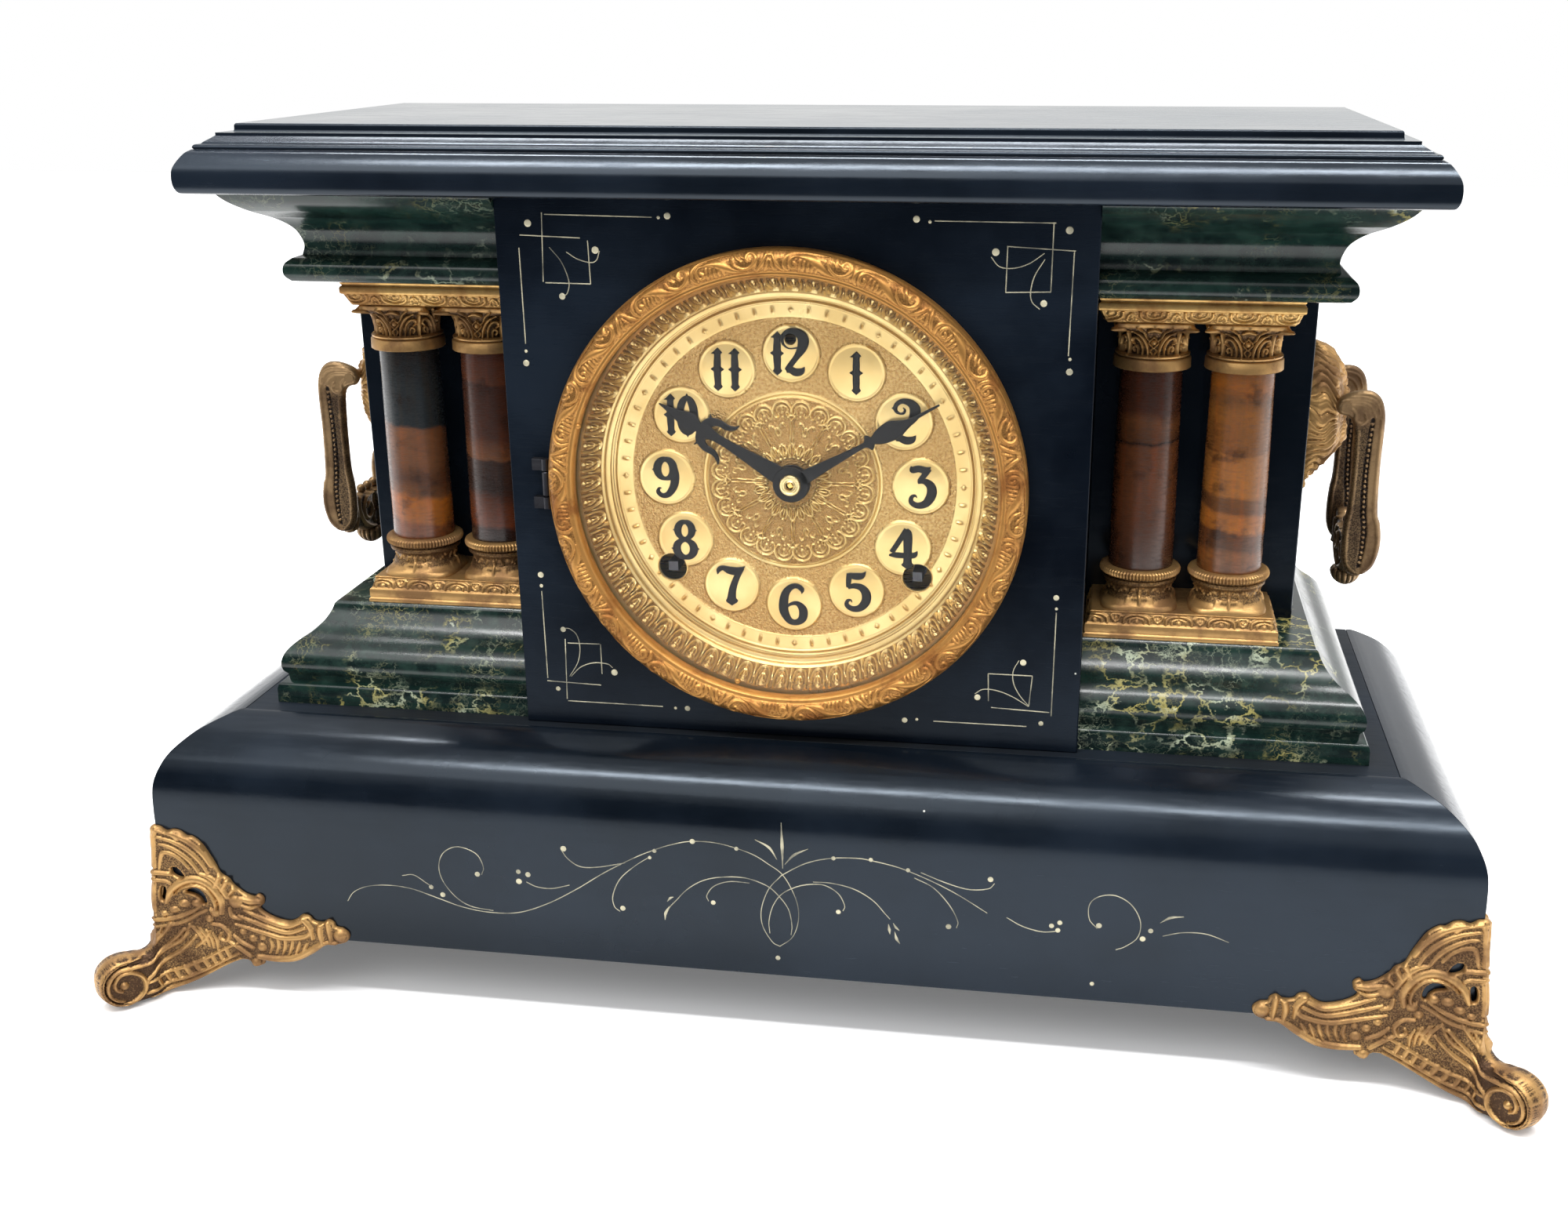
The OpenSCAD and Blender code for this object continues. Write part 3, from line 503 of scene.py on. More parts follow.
# %% Plain finishes
def metal_finish(name, light, dark, rough, metal=1.0):
    """Metal with fine level lines and faint tarnish; with metal 0 it is paint."""
    m, t, s = finish(name, Metallic=metal)
    lines = noise(t, spots(t, (30, 30, 600)), 3.0, 4.0, 0.6)
    cloud = noise(t, spots(t), 70.0, 5.0, 0.65)
    colour = mix(t, between(t, cloud, 0.4, 0.75, 0.0, 0.8), light, dark)
    feed(t, s, Base_Color=colour, Roughness=between(t, lines, 0.3, 0.75, rough, rough + 0.14),
         height=(0.12, 0.0001, lines))
    return m


def wood_finish(name, light, dark, rough):
    """Wood with upright grain: noise stretched along z."""
    m, t, s = finish(name, Specular_IOR_Level=0.4)
    grain = noise(t, spots(t, (220, 220, 7)), 1.0, 7.0, 0.7, 0.6)
    pores = noise(t, spots(t, (1500, 1500, 60)), 1.0, 3.0, 0.6)
    colour = mix(t, between(t, grain, 0.3, 0.7), light, dark)
    colour = mix(t, between(t, pores, 0.6, 0.75, 0.0, 0.6), colour,
                 mix(t, 1.0, colour, seen(90, 80, 74), "MULTIPLY"))
    feed(t, s, Base_Color=colour, Roughness=between(t, grain, 0.2, 0.8, rough, rough + 0.15),
         height=(0.2, 0.0003, grain))
    return m


brass = metal_finish("movement_brass", seen(222, 184, 108), seen(178, 132, 66), 0.24)
steel = metal_finish("brushed_steel", seen(176, 178, 180), seen(112, 112, 114), 0.26)
dark_steel = metal_finish("dark_steel", seen(70, 70, 74), seen(40, 40, 44), 0.38)
blued = metal_finish("blued_steel", seen(46, 52, 70), seen(28, 30, 36), 0.3)
black = metal_finish("hand_black", seen(13, 13, 16), seen(8, 8, 10), 0.34, metal=0.0)
black.node_tree.nodes["Principled BSDF"].inputs["Specular IOR Level"].default_value = 0.16
nut_brass = metal_finish("nut_brass", seen(214, 196, 148), seen(140, 122, 84), 0.25)
back_wood = wood_finish("stained_back", seen(74, 46, 28), seen(40, 24, 15), 0.5)
line_gold, t, s = finish("gilt_line", Metallic=0.25)
dull = plus(t, add(t, "Attribute", 2, attribute_name="hollow"),
            between(t, noise(t, spots(t), 140.0, 3.0), 0.35, 0.7, -0.25, 0.25))
feed(t, s, Base_Color=mix(t, dull, seen(222, 214, 182), seen(84, 84, 76)),
     Roughness=between(t, noise(t, spots(t), 300.0), 0.3, 0.7, 0.4, 0.6))
print(len(bpy.data.materials), "finishes")

# %% [markdown]
# ## The case: moulded blocks
# A cabinet maker planes a moulding with a shaped iron and mitres it at the corners. Here a
# block is a plan (a polygon whose corners step in as the moulding rises) lofted through
# the profile. The profile is a list of (inset, height) points; its curved parts are drawn
# through a few measured points with a smooth curve.

# %% Profiles
def profile(*runs):
    """Runs of (inset, height) points: two points make a straight run, more make a curve."""
    out = []
    for run in runs:
        line = np.asarray(run, float) if len(run) == 2 else curve(run, 7 * len(run))
        out.append(line if not out else line[1 if np.allclose(out[-1][-1], line[0]) else 0:])
    return np.concatenate(out)


# base, pedestal, frieze and top board, from the underside up
BASE = profile([(0, 0), (0, 42)],
               [(0, 42), (.25, 49), (.9, 53.5), (2.4, 57.6), (5, 62), (9, 65.8), (13.3, 68.6), (19.3, 71),
                (22.3, 71.9)])
PEDESTAL = profile([(0, 0), (.1, 4.8)], [(.1, 4.8), (.7, 6.4), (2.2, 7.1), (3.4, 7.3)],
                   [(3.4, 7.3), (3.2, 9.2)],
                   [(3.2, 9.2), (1.9, 11.2), (1.75, 14.2), (3.2, 17.4), (6.2, 20.2), (10.2, 22.7),
                    (13.2, 25.6), (15.2, 28.6), (16.2, 31)], [(16.2, 31), (17, 31.7)])
FRIEZE = profile([(16.5, 0), (14.6, .5)], [(14.6, .5), (13.1, 2.2), (12.8, 4.2), (13.4, 6.1), (15.2, 7.6)],
                 [(15.2, 7.6), (17.7, 8.4)],
                 [(17.7, 8.4), (18.3, 11.2), (17.7, 14), (16.1, 17), (12.5, 20), (7, 22.8), (2.8, 25.6),
                  (.4, 28), (0, 29)])
TOP = profile([(7.6, 0), (2.6, .05)],
              [(2.6, .05), (1.1, .6), (.2, 2.4), (0, 5.2), (.4, 7.6), (1.6, 9.8), (3.3, 11.9), (4.9, 12.9)],
              [(4.9, 12.9), (5.5, 12.8)], [(5.5, 12.8), (5.1, 13.5), (5.5, 14.2), (6.3, 14.4), (6.8, 14.1)],
              [(6.8, 14.1), (7.5, 14.9), (9.1, 15.9), (10.3, 16.7)], [(10.3, 16.7), (10.3, 17.5)],
              [(10.3, 17.5), (14.2, 17.7)], [(14.2, 17.7), (14.4, 18.2), (14.5, 19.5), (14.9, 20)])


def block(plan, levels, z):
    """A plan, as a function from inset to its corners, lofted through the levels, with flat ends."""
    rings = np.array([[(x, y, z + h) for x, y in plan(i)] for i, h in levels])
    return rings, capped(*rings.shape[:2]), 0.0


print("points in the profiles:", len(BASE), len(PEDESTAL), len(FRIEZE), len(TOP))


# %% Base, top and marbled blocks
RAIL, GAP = 24, 0.12  # width of a base rail, and the hair's gap at its mitre


def mitred(side):
    """Plan of one base rail: side 0 is the front, -1 and 1 the ends."""
    if side == 0:
        return lambda i: [(-XB + i + GAP, -YB + i), (XB - i - GAP, -YB + i),
                          (XB - RAIL - GAP, -YB + RAIL), (-XB + RAIL + GAP, -YB + RAIL)]
    corners = lambda i: [(side * (XB - i), -YB + i + GAP), (side * (XB - i), YB),
                         (side * (XB - RAIL), YB), (side * (XB - RAIL), -YB + RAIL + GAP)]
    return corners if side > 0 else lambda i: corners(i)[::-1]


for side, node in ((0, "base_front"), (-1, "base_left"), (1, "base_right")):
    piece(node + "_rail", [block(mitred(side), BASE, Z0)], enamel, stands_for=node)
piece("top_slab",
      [block(lambda i: [(-XT + i, -YT + i), (XT - i, -YT + i), (XT - i, YB), (-XT + i, YB)], TOP, Z4)],
      enamel_top, stands_for="top_board")


def wrapped(side, hx, fy):
    """Plan of a marbled block: along the front of one wing, round the corner and back along the side."""
    right = lambda i: [(PW, -fy + i), (hx - i, -fy + i), (hx - i, YB), (XW, YB), (XW, -YWING), (PW, -YWING)]
    return right if side > 0 else lambda i: [(-x, y) for x, y in right(i)][::-1]


for side, word in ((-1, "left"), (1, "right")):
    piece(f"marble_pedestal_{word}", [block(wrapped(side, XP, YP), PEDESTAL, Z1)], marble_low,
          stands_for=f"pedestal_{word}")
    piece(f"marble_frieze_{word}", [block(wrapped(side, XF, YF), FRIEZE, Z3)], marble_high,
          stands_for=f"frieze_{word}")

# %% [markdown]
# ## Boards with broken edges
# Flat boards keep the CAD shape. A copy of the mesh is merged and given a small bevel, as
# a craftsman breaks a sharp arris with sandpaper, so that each edge catches a line of light.

# %% Bevelled copies
def eased(node, material, width=0.4):
    """A merged copy of a CAD node with its edges bevelled by width."""
    mesh = nodes[node].data.copy()
    thing = bpy.data.objects.new(node + "_eased", mesh)
    bpy.context.scene.collection.objects.link(thing)
    bm = bmesh.new()
    bm.from_mesh(mesh)
    bmesh.ops.remove_doubles(bm, verts=bm.verts, dist=1e-6)
    bmesh.ops.dissolve_limit(bm, angle_limit=math.radians(1), verts=bm.verts, edges=bm.edges)
    bm.to_mesh(mesh)
    bm.free()
    mesh.materials.clear()
    mesh.materials.append(material)
    mesh.polygons.foreach_set("use_smooth", np.ones(len(mesh.polygons), bool))
    mesh.set_sharp_from_angle(angle=math.radians(30))
    bevel = thing.modifiers.new("eased", "BEVEL")
    bevel.width, bevel.segments = width * 0.001, 2
    bevel.limit_method, bevel.angle_limit = "ANGLE", math.radians(50)
    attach(thing, "case")
    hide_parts(node)
    return thing


for node in ("wing_left", "wing_right", "side_left", "side_right"):
    eased(node, enamel)
# the front panel and cheeks take the shaded copy of the enamel: painted shade
for node in ("front_panel", "cheeks"):
    eased(node, enamel_shaded)
for node in ("base_back", "base_deck"):
    eased(node, enamel_dull)
eased("back_board", back_wood, 0.3)
print("boards eased")

# %% [markdown]
# ## Drawing in relief
# The gilt parts of such a clock are stamped or cast from carved patterns. Their ornament is
# drawn here as strokes: a line with a half width and a height at each of its points.
# `raised` turns strokes into a height over any set of points. `ribbon` makes a stroke a
# small solid of its own, for hands, numerals and inlaid lines.

# %% Strokes
def stroke(points, width, height=1.0, n=16):
    """Rows of (x, y, half width, height) along a smooth curve; width and height may be one value
    or several from start to end."""
    line = curve(points, n) if len(points) > 2 else np.linspace(points[0], points[1], 4)
    share = np.linspace(0, 1, len(line))
    w = np.interp(share, np.linspace(0, 1, np.size(width)), np.ravel(width))
    h = np.interp(share, np.linspace(0, 1, np.size(height)), np.ravel(height))
    return np.column_stack([line, w, h])


def dot(x, y, r, height=1.0):
    """A round boss as a very short stroke."""
    return np.array([[x, y, r, height], [x + 1e-3, y, r, height]])


def mirrored_too(strokes):
    """The strokes and their mirror images in x."""
    return list(strokes) + [s * (-1, 1, 1, 1) for s in strokes]


def moved(strokes, dx, dy=0.0):
    """The same strokes shifted by dx, dy."""
    return [s + (dx, dy, 0, 0) for s in strokes]


print("an arc of three points becomes", len(stroke([(0, 0), (1, 1), (2, 0)], 1.0)), "points")

# %% Relief from strokes
SOFT = 0.8  # 1 would make a stroke's section a parabola; less makes its sides steeper


def raised(at, strokes):
    """Height over points at (n, 2): across a stroke it falls as (1 - e squared) to the power
    SOFT, where e is the distance from the stroke's line over its half width there."""
    at = np.asarray(at, float).reshape(-1, 2)
    out = np.zeros(len(at))
    for s in strokes:
        reach = s[:, 2].max()
        close = np.flatnonzero(((at > s[:, :2].min(0) - reach) & (at < s[:, :2].max(0) + reach)).all(1))
        if len(close) == 0:
            continue
        a, along = s[:-1], np.diff(s, axis=0)
        near = at[close][:, None] - a[None, :, :2]
        t = np.clip((near * along[:, :2]).sum(-1) / np.maximum((along[:, :2] ** 2).sum(-1), 1e-9), 0, 1)
        gap = near - t[..., None] * along[:, :2]
        e = np.hypot(gap[..., 0], gap[..., 1]) / (a[:, 2] + t * along[:, 2])
        ridge = (a[:, 3] + t * along[:, 3]) * np.clip(1 - e * e, 0, 1) ** SOFT
        out[close] = np.maximum(out[close], ridge.max(1))
    return out


# %% Bars, planes and rings
def ribbon(path, place, base=0.0, flat=None):
    """A closed bar along a stroke. Its section is half an ellipse as high as the stroke, or with
    flat a low box whose top edges are cut off by flat; place carries (x, y, height) to space."""
    path = np.asarray(path, float)
    ahead = np.gradient(path[:, :2], axis=0)
    ahead /= np.maximum(np.hypot(ahead[:, 0], ahead[:, 1]), 1e-9)[:, None]
    side = np.stack([ahead[:, 1], -ahead[:, 0]], 1)
    if flat is None:
        turn = np.linspace(0, np.pi, 7)
        out, up = np.cos(turn)[None] * path[:, 2:3], np.sin(turn)[None] * path[:, 3:4]
    else:
        cut = np.minimum(flat, path[:, 2:3] * 0.5)
        w, h, o = path[:, 2:3], path[:, 3:4], np.zeros((len(path), 1))
        out = np.hstack([w, w, w - cut, cut - w, -w, -w])
        up = np.hstack([o, h - cut, h, h, h - cut, o])
    flat_xy = path[:, None, :2] + side[:, None] * out[..., None]
    points = place(flat_xy[..., 0], flat_xy[..., 1], base + up)
    return points.reshape(-1, 3), capped(*out.shape), 0.0


def on_front(y, cx=0.0, cz=0.0):
    """Places (x, y, height) on an upright plane at y: x to the right, y up, height towards the viewer."""
    return lambda u, v, h: np.stack([u + cx, y - h, v + cz], -1)


def rings(radii, heights, count, cx=DX, cz=DZ, y=-YDIAL):
    """A surface round an axis towards the viewer: heights (rows, count) stand in front of y; the
    angle runs clockwise from the top."""
    a = np.linspace(0, 2 * np.pi, count, endpoint=False)[None]
    r = np.asarray(radii, float).reshape(-1, 1)
    return np.stack([cx + r * np.sin(a), y - heights, cz + r * np.cos(a)], -1)


print("height in the middle of a stroke 1 high:", raised([(1, 0)], [stroke([(0, 0), (2, 0)], 0.5)])[0])

# %% [markdown]
# ## Bezel
# The bezel is spun from thin brass and rolled with a running pattern: pairs of long
# scrolls, combed on one side, with a small fan between the pairs, nine times round. The
# profile comes from the CAD ring, and the ornament lies on its broad outer swell.

# %% Bezel ornament
def scroll(x):
    """One long S scroll that starts at x: hook, combed back, sweeping lobe and end curl; y is
    the radius."""
    marks = [stroke([(.9, 69), (0, 71), (.9, 73), (3.6, 73.9), (8.5, 74), (13, 73.8)],
                    (.4, .5, .5, .35, .15), .75, 22),
             stroke([(5.6, 72.8), (3.2, 73), (1.8, 72), (1.8, 70.6), (2.8, 70), (3.7, 70.8), (3, 71.5)],
                    (.2, .4, .45, .3), .8, 20),
             stroke([(5, 73.1), (8, 72.6), (10.6, 71.2), (13, 69.9), (16.5, 69.4)], (.4, 1.0, 1.1, .8, .2),
                    .8, 18),
             stroke([(12.6, 73), (13.6, 71.3), (15.8, 70.1), (18.4, 70.4), (20, 71.9), (19.8, 73.3),
                     (18.4, 74), (17.2, 73.2), (17.5, 72.1), (18.3, 72)], (.15, .45, .6, .5, .35), .95, 26),
             stroke([(13.6, 74.2), (14.4, 73), (15.8, 71.9)], (.2, .35, .15), .7, 8),
             stroke([(15, 74.2), (15.6, 73.3), (16.6, 72.6)], (.2, .3, .15), .7, 8)]
    marks += [stroke([(4.9 + 1.3 * k, 72.3 - .25 * k), (4.6 + 1.3 * k, 70.8 - .1 * k),
                      (4.3 + 1.35 * k, 69.2)], (.15, .36, .15), .6, 8) for k in range(5)]
    return moved(marks, x)


FAN = mirrored_too([stroke([(4, 69.1), (1.9, 71.4), (.6, 73.9)], (.5, .45, .25), .85, 10),
                    stroke([(1.5, 69.1), (.8, 70.9), (.3, 72)], (.4, .3, .15), .7, 8)])
FAN += [dot(0, 73.4, .75, .9), dot(0, 70, .4, .6)]
TURNS = 9
arc = 2 * np.pi * 71 / TURNS
band_marks = [np.column_stack([m[:, 0], 74.3 - (74.3 - m[:, 1]) * 1.22, m[:, 2] * 1.12, m[:, 3]])
              for m in FAN + scroll(4.4) + scroll(25.6)]
band_marks = band_marks + moved(band_marks, -arc)
print(len(band_marks), "strokes in one of", TURNS, "repeats")

# %% Bezel surface
columns = 180
inner = [(-7.9, 1.3), (-8.3, 4.6), (-8.1, 5.6), (-7.7, 6.3), (-7.3, 6.5), (-7.0, 6.4), (-6.7, 6.5)]
swell = curve([(-6.7, 6.5), (-5.6, 7.2), (-4, 7.5), (-2.2, 7.1), (-.9, 5.9), (-.45, 5.0)], 38)
outer = [(-.1, 4.6), (0, 3.6), (0, 2.0), (0, .9), (-5.1, .9), (-5.2, 1.3)]
ring = np.array(inner + [tuple(p) for p in swell[1:]] + outer) + (BEZEL_R, 0)
u = (np.arange(columns) / columns - 0.5) * arc
grid = np.stack(np.broadcast_arrays(u[None], ring[:, :1]), -1)
ornament = raised(grid, band_marks).reshape(len(ring), columns)
ornament = ornament * step(ring[:, :1], 67.7, 68.2) * step(-ring[:, :1], -74.4, -73.9)
ornament = np.roll(np.tile(ornament, (1, TURNS)), columns // 2 - 10, axis=1)
worn = 1 - 0.35 * hill((np.arange(columns * TURNS) / (columns * TURNS) - 0.03) * 5)[None]
heights = ring[:, 1:] + 0.6 * ornament * worn
bezel_points = rings(ring[:, 0], heights, columns * TURNS, y=-YPAN)
bezel_hollow = np.clip((0.35 - ornament) * 1.7, 0, 0.5)
bezel_hollow = bezel_hollow * step(ring[:, :1], 67.7, 68.3) * step(-ring[:, :1], -74.3, -73.7)


# %% Turned rings, knuckles and studs
def turned(outline, place, sides=48, hollow=0.0):
    """A closed ring of (radius, height) points turned round an axis; place carries (x, y, height)
    to space."""
    outline = np.asarray(outline, float)
    a = np.linspace(0, 2 * np.pi, sides, endpoint=False)
    points = place(outline[:, :1] * np.cos(a), outline[:, :1] * np.sin(a), outline[:, 1:] * np.ones(sides))
    return points.reshape(-1, 3), weave(len(outline), sides, True, True)[:, ::-1], hollow


def knuckle(x, y, z0, z1, r):
    """A short upright barrel with rounded ends."""
    e = 0.25
    shape = [(0.01, z0), (r - e, z0), (r, z0 + e), (r, z1 - e), (r - e, z1), (0.01, z1)]
    return turned(shape, lambda a, b, h: np.stack([a + x, b + y, h], -1), 20)


def stud(x, z, y, r, h):
    """A domed boss standing h in front of the plane y."""
    shape = [(0.01, 0), (r, 0), (r, .3 * h), (.85 * r, .7 * h), (.55 * r, .93 * h), (.01, h)]
    return turned(shape, on_front(y, x, z), 20)


bezel_faces = weave(len(ring), columns * TURNS, True, True)[:, ::-1]
rivets = [stud(DX + x, DZ + z, -YPAN - 6, 0.9, 1.0) for x, z in ((-63.4, 19.7), (-15.3, -61.4))]
piece("bezel_ring", [(bezel_points.reshape(-1, 3), bezel_faces, bezel_hollow), *rivets], copper,
      body="bezel", stands_for="bezel", sharp=60)
piece("bezel_knuckle", [knuckle(DX - BEZEL_R - 1.6, -YPAN - 1.75, DZ - 3.9, DZ + 3.9, 1.25)], dark_steel,
      body="bezel", stands_for="bezel")

# %% [markdown]
# ## Dial
# The dial is a shallow dish of brass. Its sloping border carries 66 tongues with darts
# between them, then come a round moulding, the minute track, twelve smooth discs on a
# sand-like ground and, in the middle, a medallion like lace.

# %% Dial border
TONGUES = 66
TRACK_R = 58.0  # where the border starts, outside the minute track
slope = np.array([7.3, 12.5]) / math.hypot(7.3, 12.5)  # outwards and forwards along the border
tongue = mirrored_too([stroke([(2.1, 14.5), (2.2, 11.6), (1.95, 9.2), (1.2, 7.4), (0, 6.7)],
                              (.42, .42, .42, .45), 1.2, 18),
                       stroke([(.3, 9.3), (.85, 10.6), (1.15, 12.4)], (.25, .36, .2), .8, 8),
                       stroke([(2.995, 6.5), (2.995, 8), (2.995, 11.2)], (.85, .6, .1), 1.0, 10)])
tongue += [stroke([(0, 8.4), (0, 11.8)], (.3, .34), .85), dot(0, 13.2, .62, .9)]
per = 24
s_line = np.concatenate([np.linspace(0, 5.4, 14), np.linspace(5.6, 14.5, 34)])
u = ((np.arange(per) + 0.5) / per - 0.5) * 2 * np.pi / TONGUES * 63.0
grid = np.stack(np.broadcast_arrays(u[None], s_line[:, None]), -1)
s_line = s_line[:, None]
marks = raised(grid, tongue).reshape(len(s_line), per) * step(s_line, 5.2, 5.7)
mouldings = np.maximum.reduce([tall * hill((s_line - at) / wide)
                               for at, wide, tall in ((2.35, .95, .95), (.75, .5, .5), (4.75, .55, .55))])
lift = np.tile(np.maximum(0.95 * marks, mouldings), (1, TONGUES))
radius = TRACK_R + s_line * slope[0] - lift * slope[1]
depth = s_line * slope[1] + lift * slope[0]
a = np.linspace(0, 2 * np.pi, per * TONGUES, endpoint=False)
top_rows = np.stack([DX + radius * np.sin(a), -YDIAL - depth, DZ + radius * np.cos(a)], -1)
flange_depth = np.array([[12.45], [12.45], [12.05], [12.0], [-.6]]) * np.ones(per * TONGUES)
border = np.concatenate([top_rows, rings([65.4, 68.4, 68.4, 66.0, 58.4], flange_depth, per * TONGUES)])
darts = .12 + np.clip(.42 - marks, 0, 1) * 1.45 * step(s_line, 5.2, 5.8)
grooves = 0.55 * hill((s_line - 1.4) / .5) + 0.5 * hill((s_line - 3.6) / .7)
border_hollow = np.concatenate([np.tile(darts + grooves, (1, TONGUES)), 0 * flange_depth])
border_faces = weave(len(border), per * TONGUES, round_rows=True, round_cols=True)[:, ::-1]
print(TONGUES, "tongues on a border", round(2 * float(radius.max()), 1), "mm across")

# %% Dial face
NUMBER_R, DISC = 40.6, 9.1  # circle that the discs stand on, and a disc's radius
TICK_R = 53.9               # circle of the minute marks
r_face = np.concatenate([np.linspace(26.6, 51.4, 66), np.linspace(51.7, TRACK_R, 26)])
around = 1080
a = np.linspace(0, 2 * np.pi, around, endpoint=False)[None]
rr = r_face[:, None]
x, z = rr * np.sin(a), rr * np.cos(a)
minute = ((a / (2 * np.pi) * 60 + 0.5) % 1 - 0.5) * 2 * np.pi / 60 * rr  # mm from the nearest minute
fives = (a / (2 * np.pi) * 12 + 0.5) % 1 - 0.5
five = fives * 2 * np.pi / 12 * rr  # mm from the nearest hour
plain_minute = np.abs(fives) * 5 > 0.4


def minute_marks(tick, tick_long, wide, long, power=1.0):
    """Oblong ticks and, at the hours, diamonds: the larger of two bumps round the track."""
    ticks = hill(minute / tick) * hill((rr - TICK_R) / tick_long) ** power * plain_minute
    return np.maximum(ticks, hill(np.minimum(1, np.abs(five) / wide + np.abs(rr - TICK_R) / long)))


marks = minute_marks(0.55, 1.35, 1.1, 1.25, 0.5)
halo = minute_marks(1.3, 2.1, 1.9, 2.1)
face = (0.28 * step(rr, 51.7, 52.3) + 0.6 * marks + 0.5 * hill((rr - 56.6) / .55)
        - 0.35 * hill((rr - 57.5) / .55) + 0.28 * hill((rr - 51.8) / .3))
grain = step(-rr, -51.8, -51.3) * step(rr, 28.6, 29.0)
for k in range(12):
    t = math.radians(30 * k)
    d = np.hypot(x - NUMBER_R * math.sin(t), z - NUMBER_R * math.cos(t))
    face = np.where(d < DISC, 0.2 + 1.1 * (1 - (d / DISC) ** 2) + 0.35 * hill((d - 8.55) / .5), face)
    grain = np.where(d < DISC + 0.1, 0.0, grain)
face = face + 0.5 * np.clip(hill((rr - 28.3) / .45) + 0.8 * hill((rr - 27.3) / .4), 0, 1)
hollow = (0.9 * np.clip(halo - 1.3 * marks, 0, 1) + 0.5 * hill((rr - 57.4) / .8)
          + 0.25 * hill((rr - 55.6) / .5) + 0.4 * hill((rr - 27.8) / .3))
print("relief of the dial's face", round(float(face.max()), 2), "mm")

# %% Holes in the dial
HOLES = ((-39.7, -29.8, 4.6), (39.7, -29.8, 4.6), (-0.1, 45.2, 1.9))  # x, z, radius
keep = np.ones(len(r_face) * around, bool)
for cx, cz, r in HOLES:
    d = np.hypot(x - cx, z - cz)
    pull = np.where(d < r, r / np.maximum(d, 1e-6), 1.0)
    x, z = cx + (x - cx) * pull, cz + (z - cz) * pull
    keep &= (d >= r).ravel()
points = np.stack([x + DX, -YDIAL - face, z + DZ], -1)
face_faces = weave(len(r_face), around, round_cols=True)[:, ::-1]
face_faces = face_faces[keep[face_faces].any(1)]
eyelet = [(-.05, -.7), (-.05, .3), (.12, .48), (.38, .4), (.5, -.1), (.5, -.7)]
eyelets = [turned([(r + out, h) for out, h in eyelet], on_front(-YDIAL, DX + cx, DZ + cz), 56, 0.25)
           for cx, cz, r in HOLES]
smooth = np.zeros(sum(len(p[0]) for p in eyelets))
piece("dial_border", [(border.reshape(-1, 3), border_faces, border_hollow)], dial_brass,
      stands_for="dial", sharp=60, extra={"grain": np.zeros(border.size // 3)})
piece("dial_face", [(points.reshape(-1, 3), face_faces, hollow), *eyelets], dial_brass,
      stands_for="dial", sharp=60, extra={"grain": np.concatenate([grain.ravel(), smooth])})

# %% Medallion
half = [stroke([(2.55, 21.7), (2.95, 23.4), (1.9, 25.3), (0, 26)], (.3, .42, .45, .45), .9, 16),
        stroke([(1.6, 22.9), (1.55, 23.9), (0, 24.75)], (.2, .28, .28), .6, 10),
        stroke([(2.55, 21.7), (1.9, 21), (1.2, 21.4), (1.3, 22.2)], (.3, .34, .2), .8, 10)]
arch = mirrored_too(half) + [dot(0, 22.5, .5, .8), dot(0, 21, .36, .6),
                             stroke([(0, 23), (0, 24.2)], (.2, .4), .6)]


def swung(strokes, degrees):
    """Strokes turned clockwise about the dial's centre."""
    c, s = math.cos(math.radians(degrees)), math.sin(math.radians(degrees))
    return [np.column_stack([p[:, 0] * c + p[:, 1] * s, p[:, 1] * c - p[:, 0] * s, p[:, 2:]])
            for p in strokes]


spoke = mirrored_too([stroke([(.45, 9.6), (.45, 19.4)], .2, .6),
                      stroke([(0, 19.6), (.9, 20.8), (1.8, 20.3)], (.2, .4, .2), .8, 8),
                      stroke([(.3, 21.2), (1.1, 22.3), (.9, 23.2)], (.2, .34, .2), .7, 8)])
spoke += [dot(0, 21.4, .42, .9), dot(0, 25.1, .4, .7)]
tuft = mirrored_too([stroke([(.3, 8.9), (.9, 10), (1.7, 10.9)], (.2, .36, .2), .8, 8)])
tuft += [stroke([(0, 9), (0, 11.6)], (.25, .4, .15), .8)]
petal = mirrored_too([stroke([(.15, 7.9), (1.0, 9.6), (.9, 11.6), (0, 12.4)], (.2, .3, .3), .8, 14)])
fleur = mirrored_too([stroke([(.5, 17.2), (1.2, 18.6), (2.3, 19), (2.5, 18)], (.2, .34, .2), .8, 12),
                      stroke([(0, 15.2), (.8, 16.4), (0, 18.2)], (.2, .3, .2), .7, 10)])
lace = petal + spoke + swung(arch, 7.5) + swung(arch, -7.5)
lace += [m for turn in (15, -15) for motif in (petal, fleur, tuft) for m in swung(motif, turn)]
lace += [dot(8.1 * math.sin(math.radians(d)), 8.1 * math.cos(math.radians(d)), .5, .9)
         for d in (-15, -5, 5, 15)]
print(len(lace), "strokes in a twelfth of the lace")

# %% Medallion surface
r_mid = np.concatenate([np.linspace(3.6, 7.2, 6), np.linspace(7.5, 12, 17), np.linspace(12.5, 19, 14),
                        np.linspace(19.2, 26.6, 34)])
per = 60
a = np.radians((np.arange(per) / per - 0.5) * 30)[None]
sector = raised(np.stack([r_mid[:, None] * np.sin(a), r_mid[:, None] * np.cos(a)], -1), lace)
lift = np.roll(np.tile(sector.reshape(len(r_mid), per), (1, 12)), -per // 2, axis=1)
height = (0.55 + 0.5 * (1 - (r_mid / 27) ** 2))[:, None] + lift
under = np.tile([[.3], [.06], [.06]], (1, per * 12))
rows = rings([*r_mid, 27.3, 27.3, 3.6], np.vstack([height, under]), per * 12)
faces = weave(len(rows), per * 12, round_rows=True, round_cols=True)[:, ::-1]
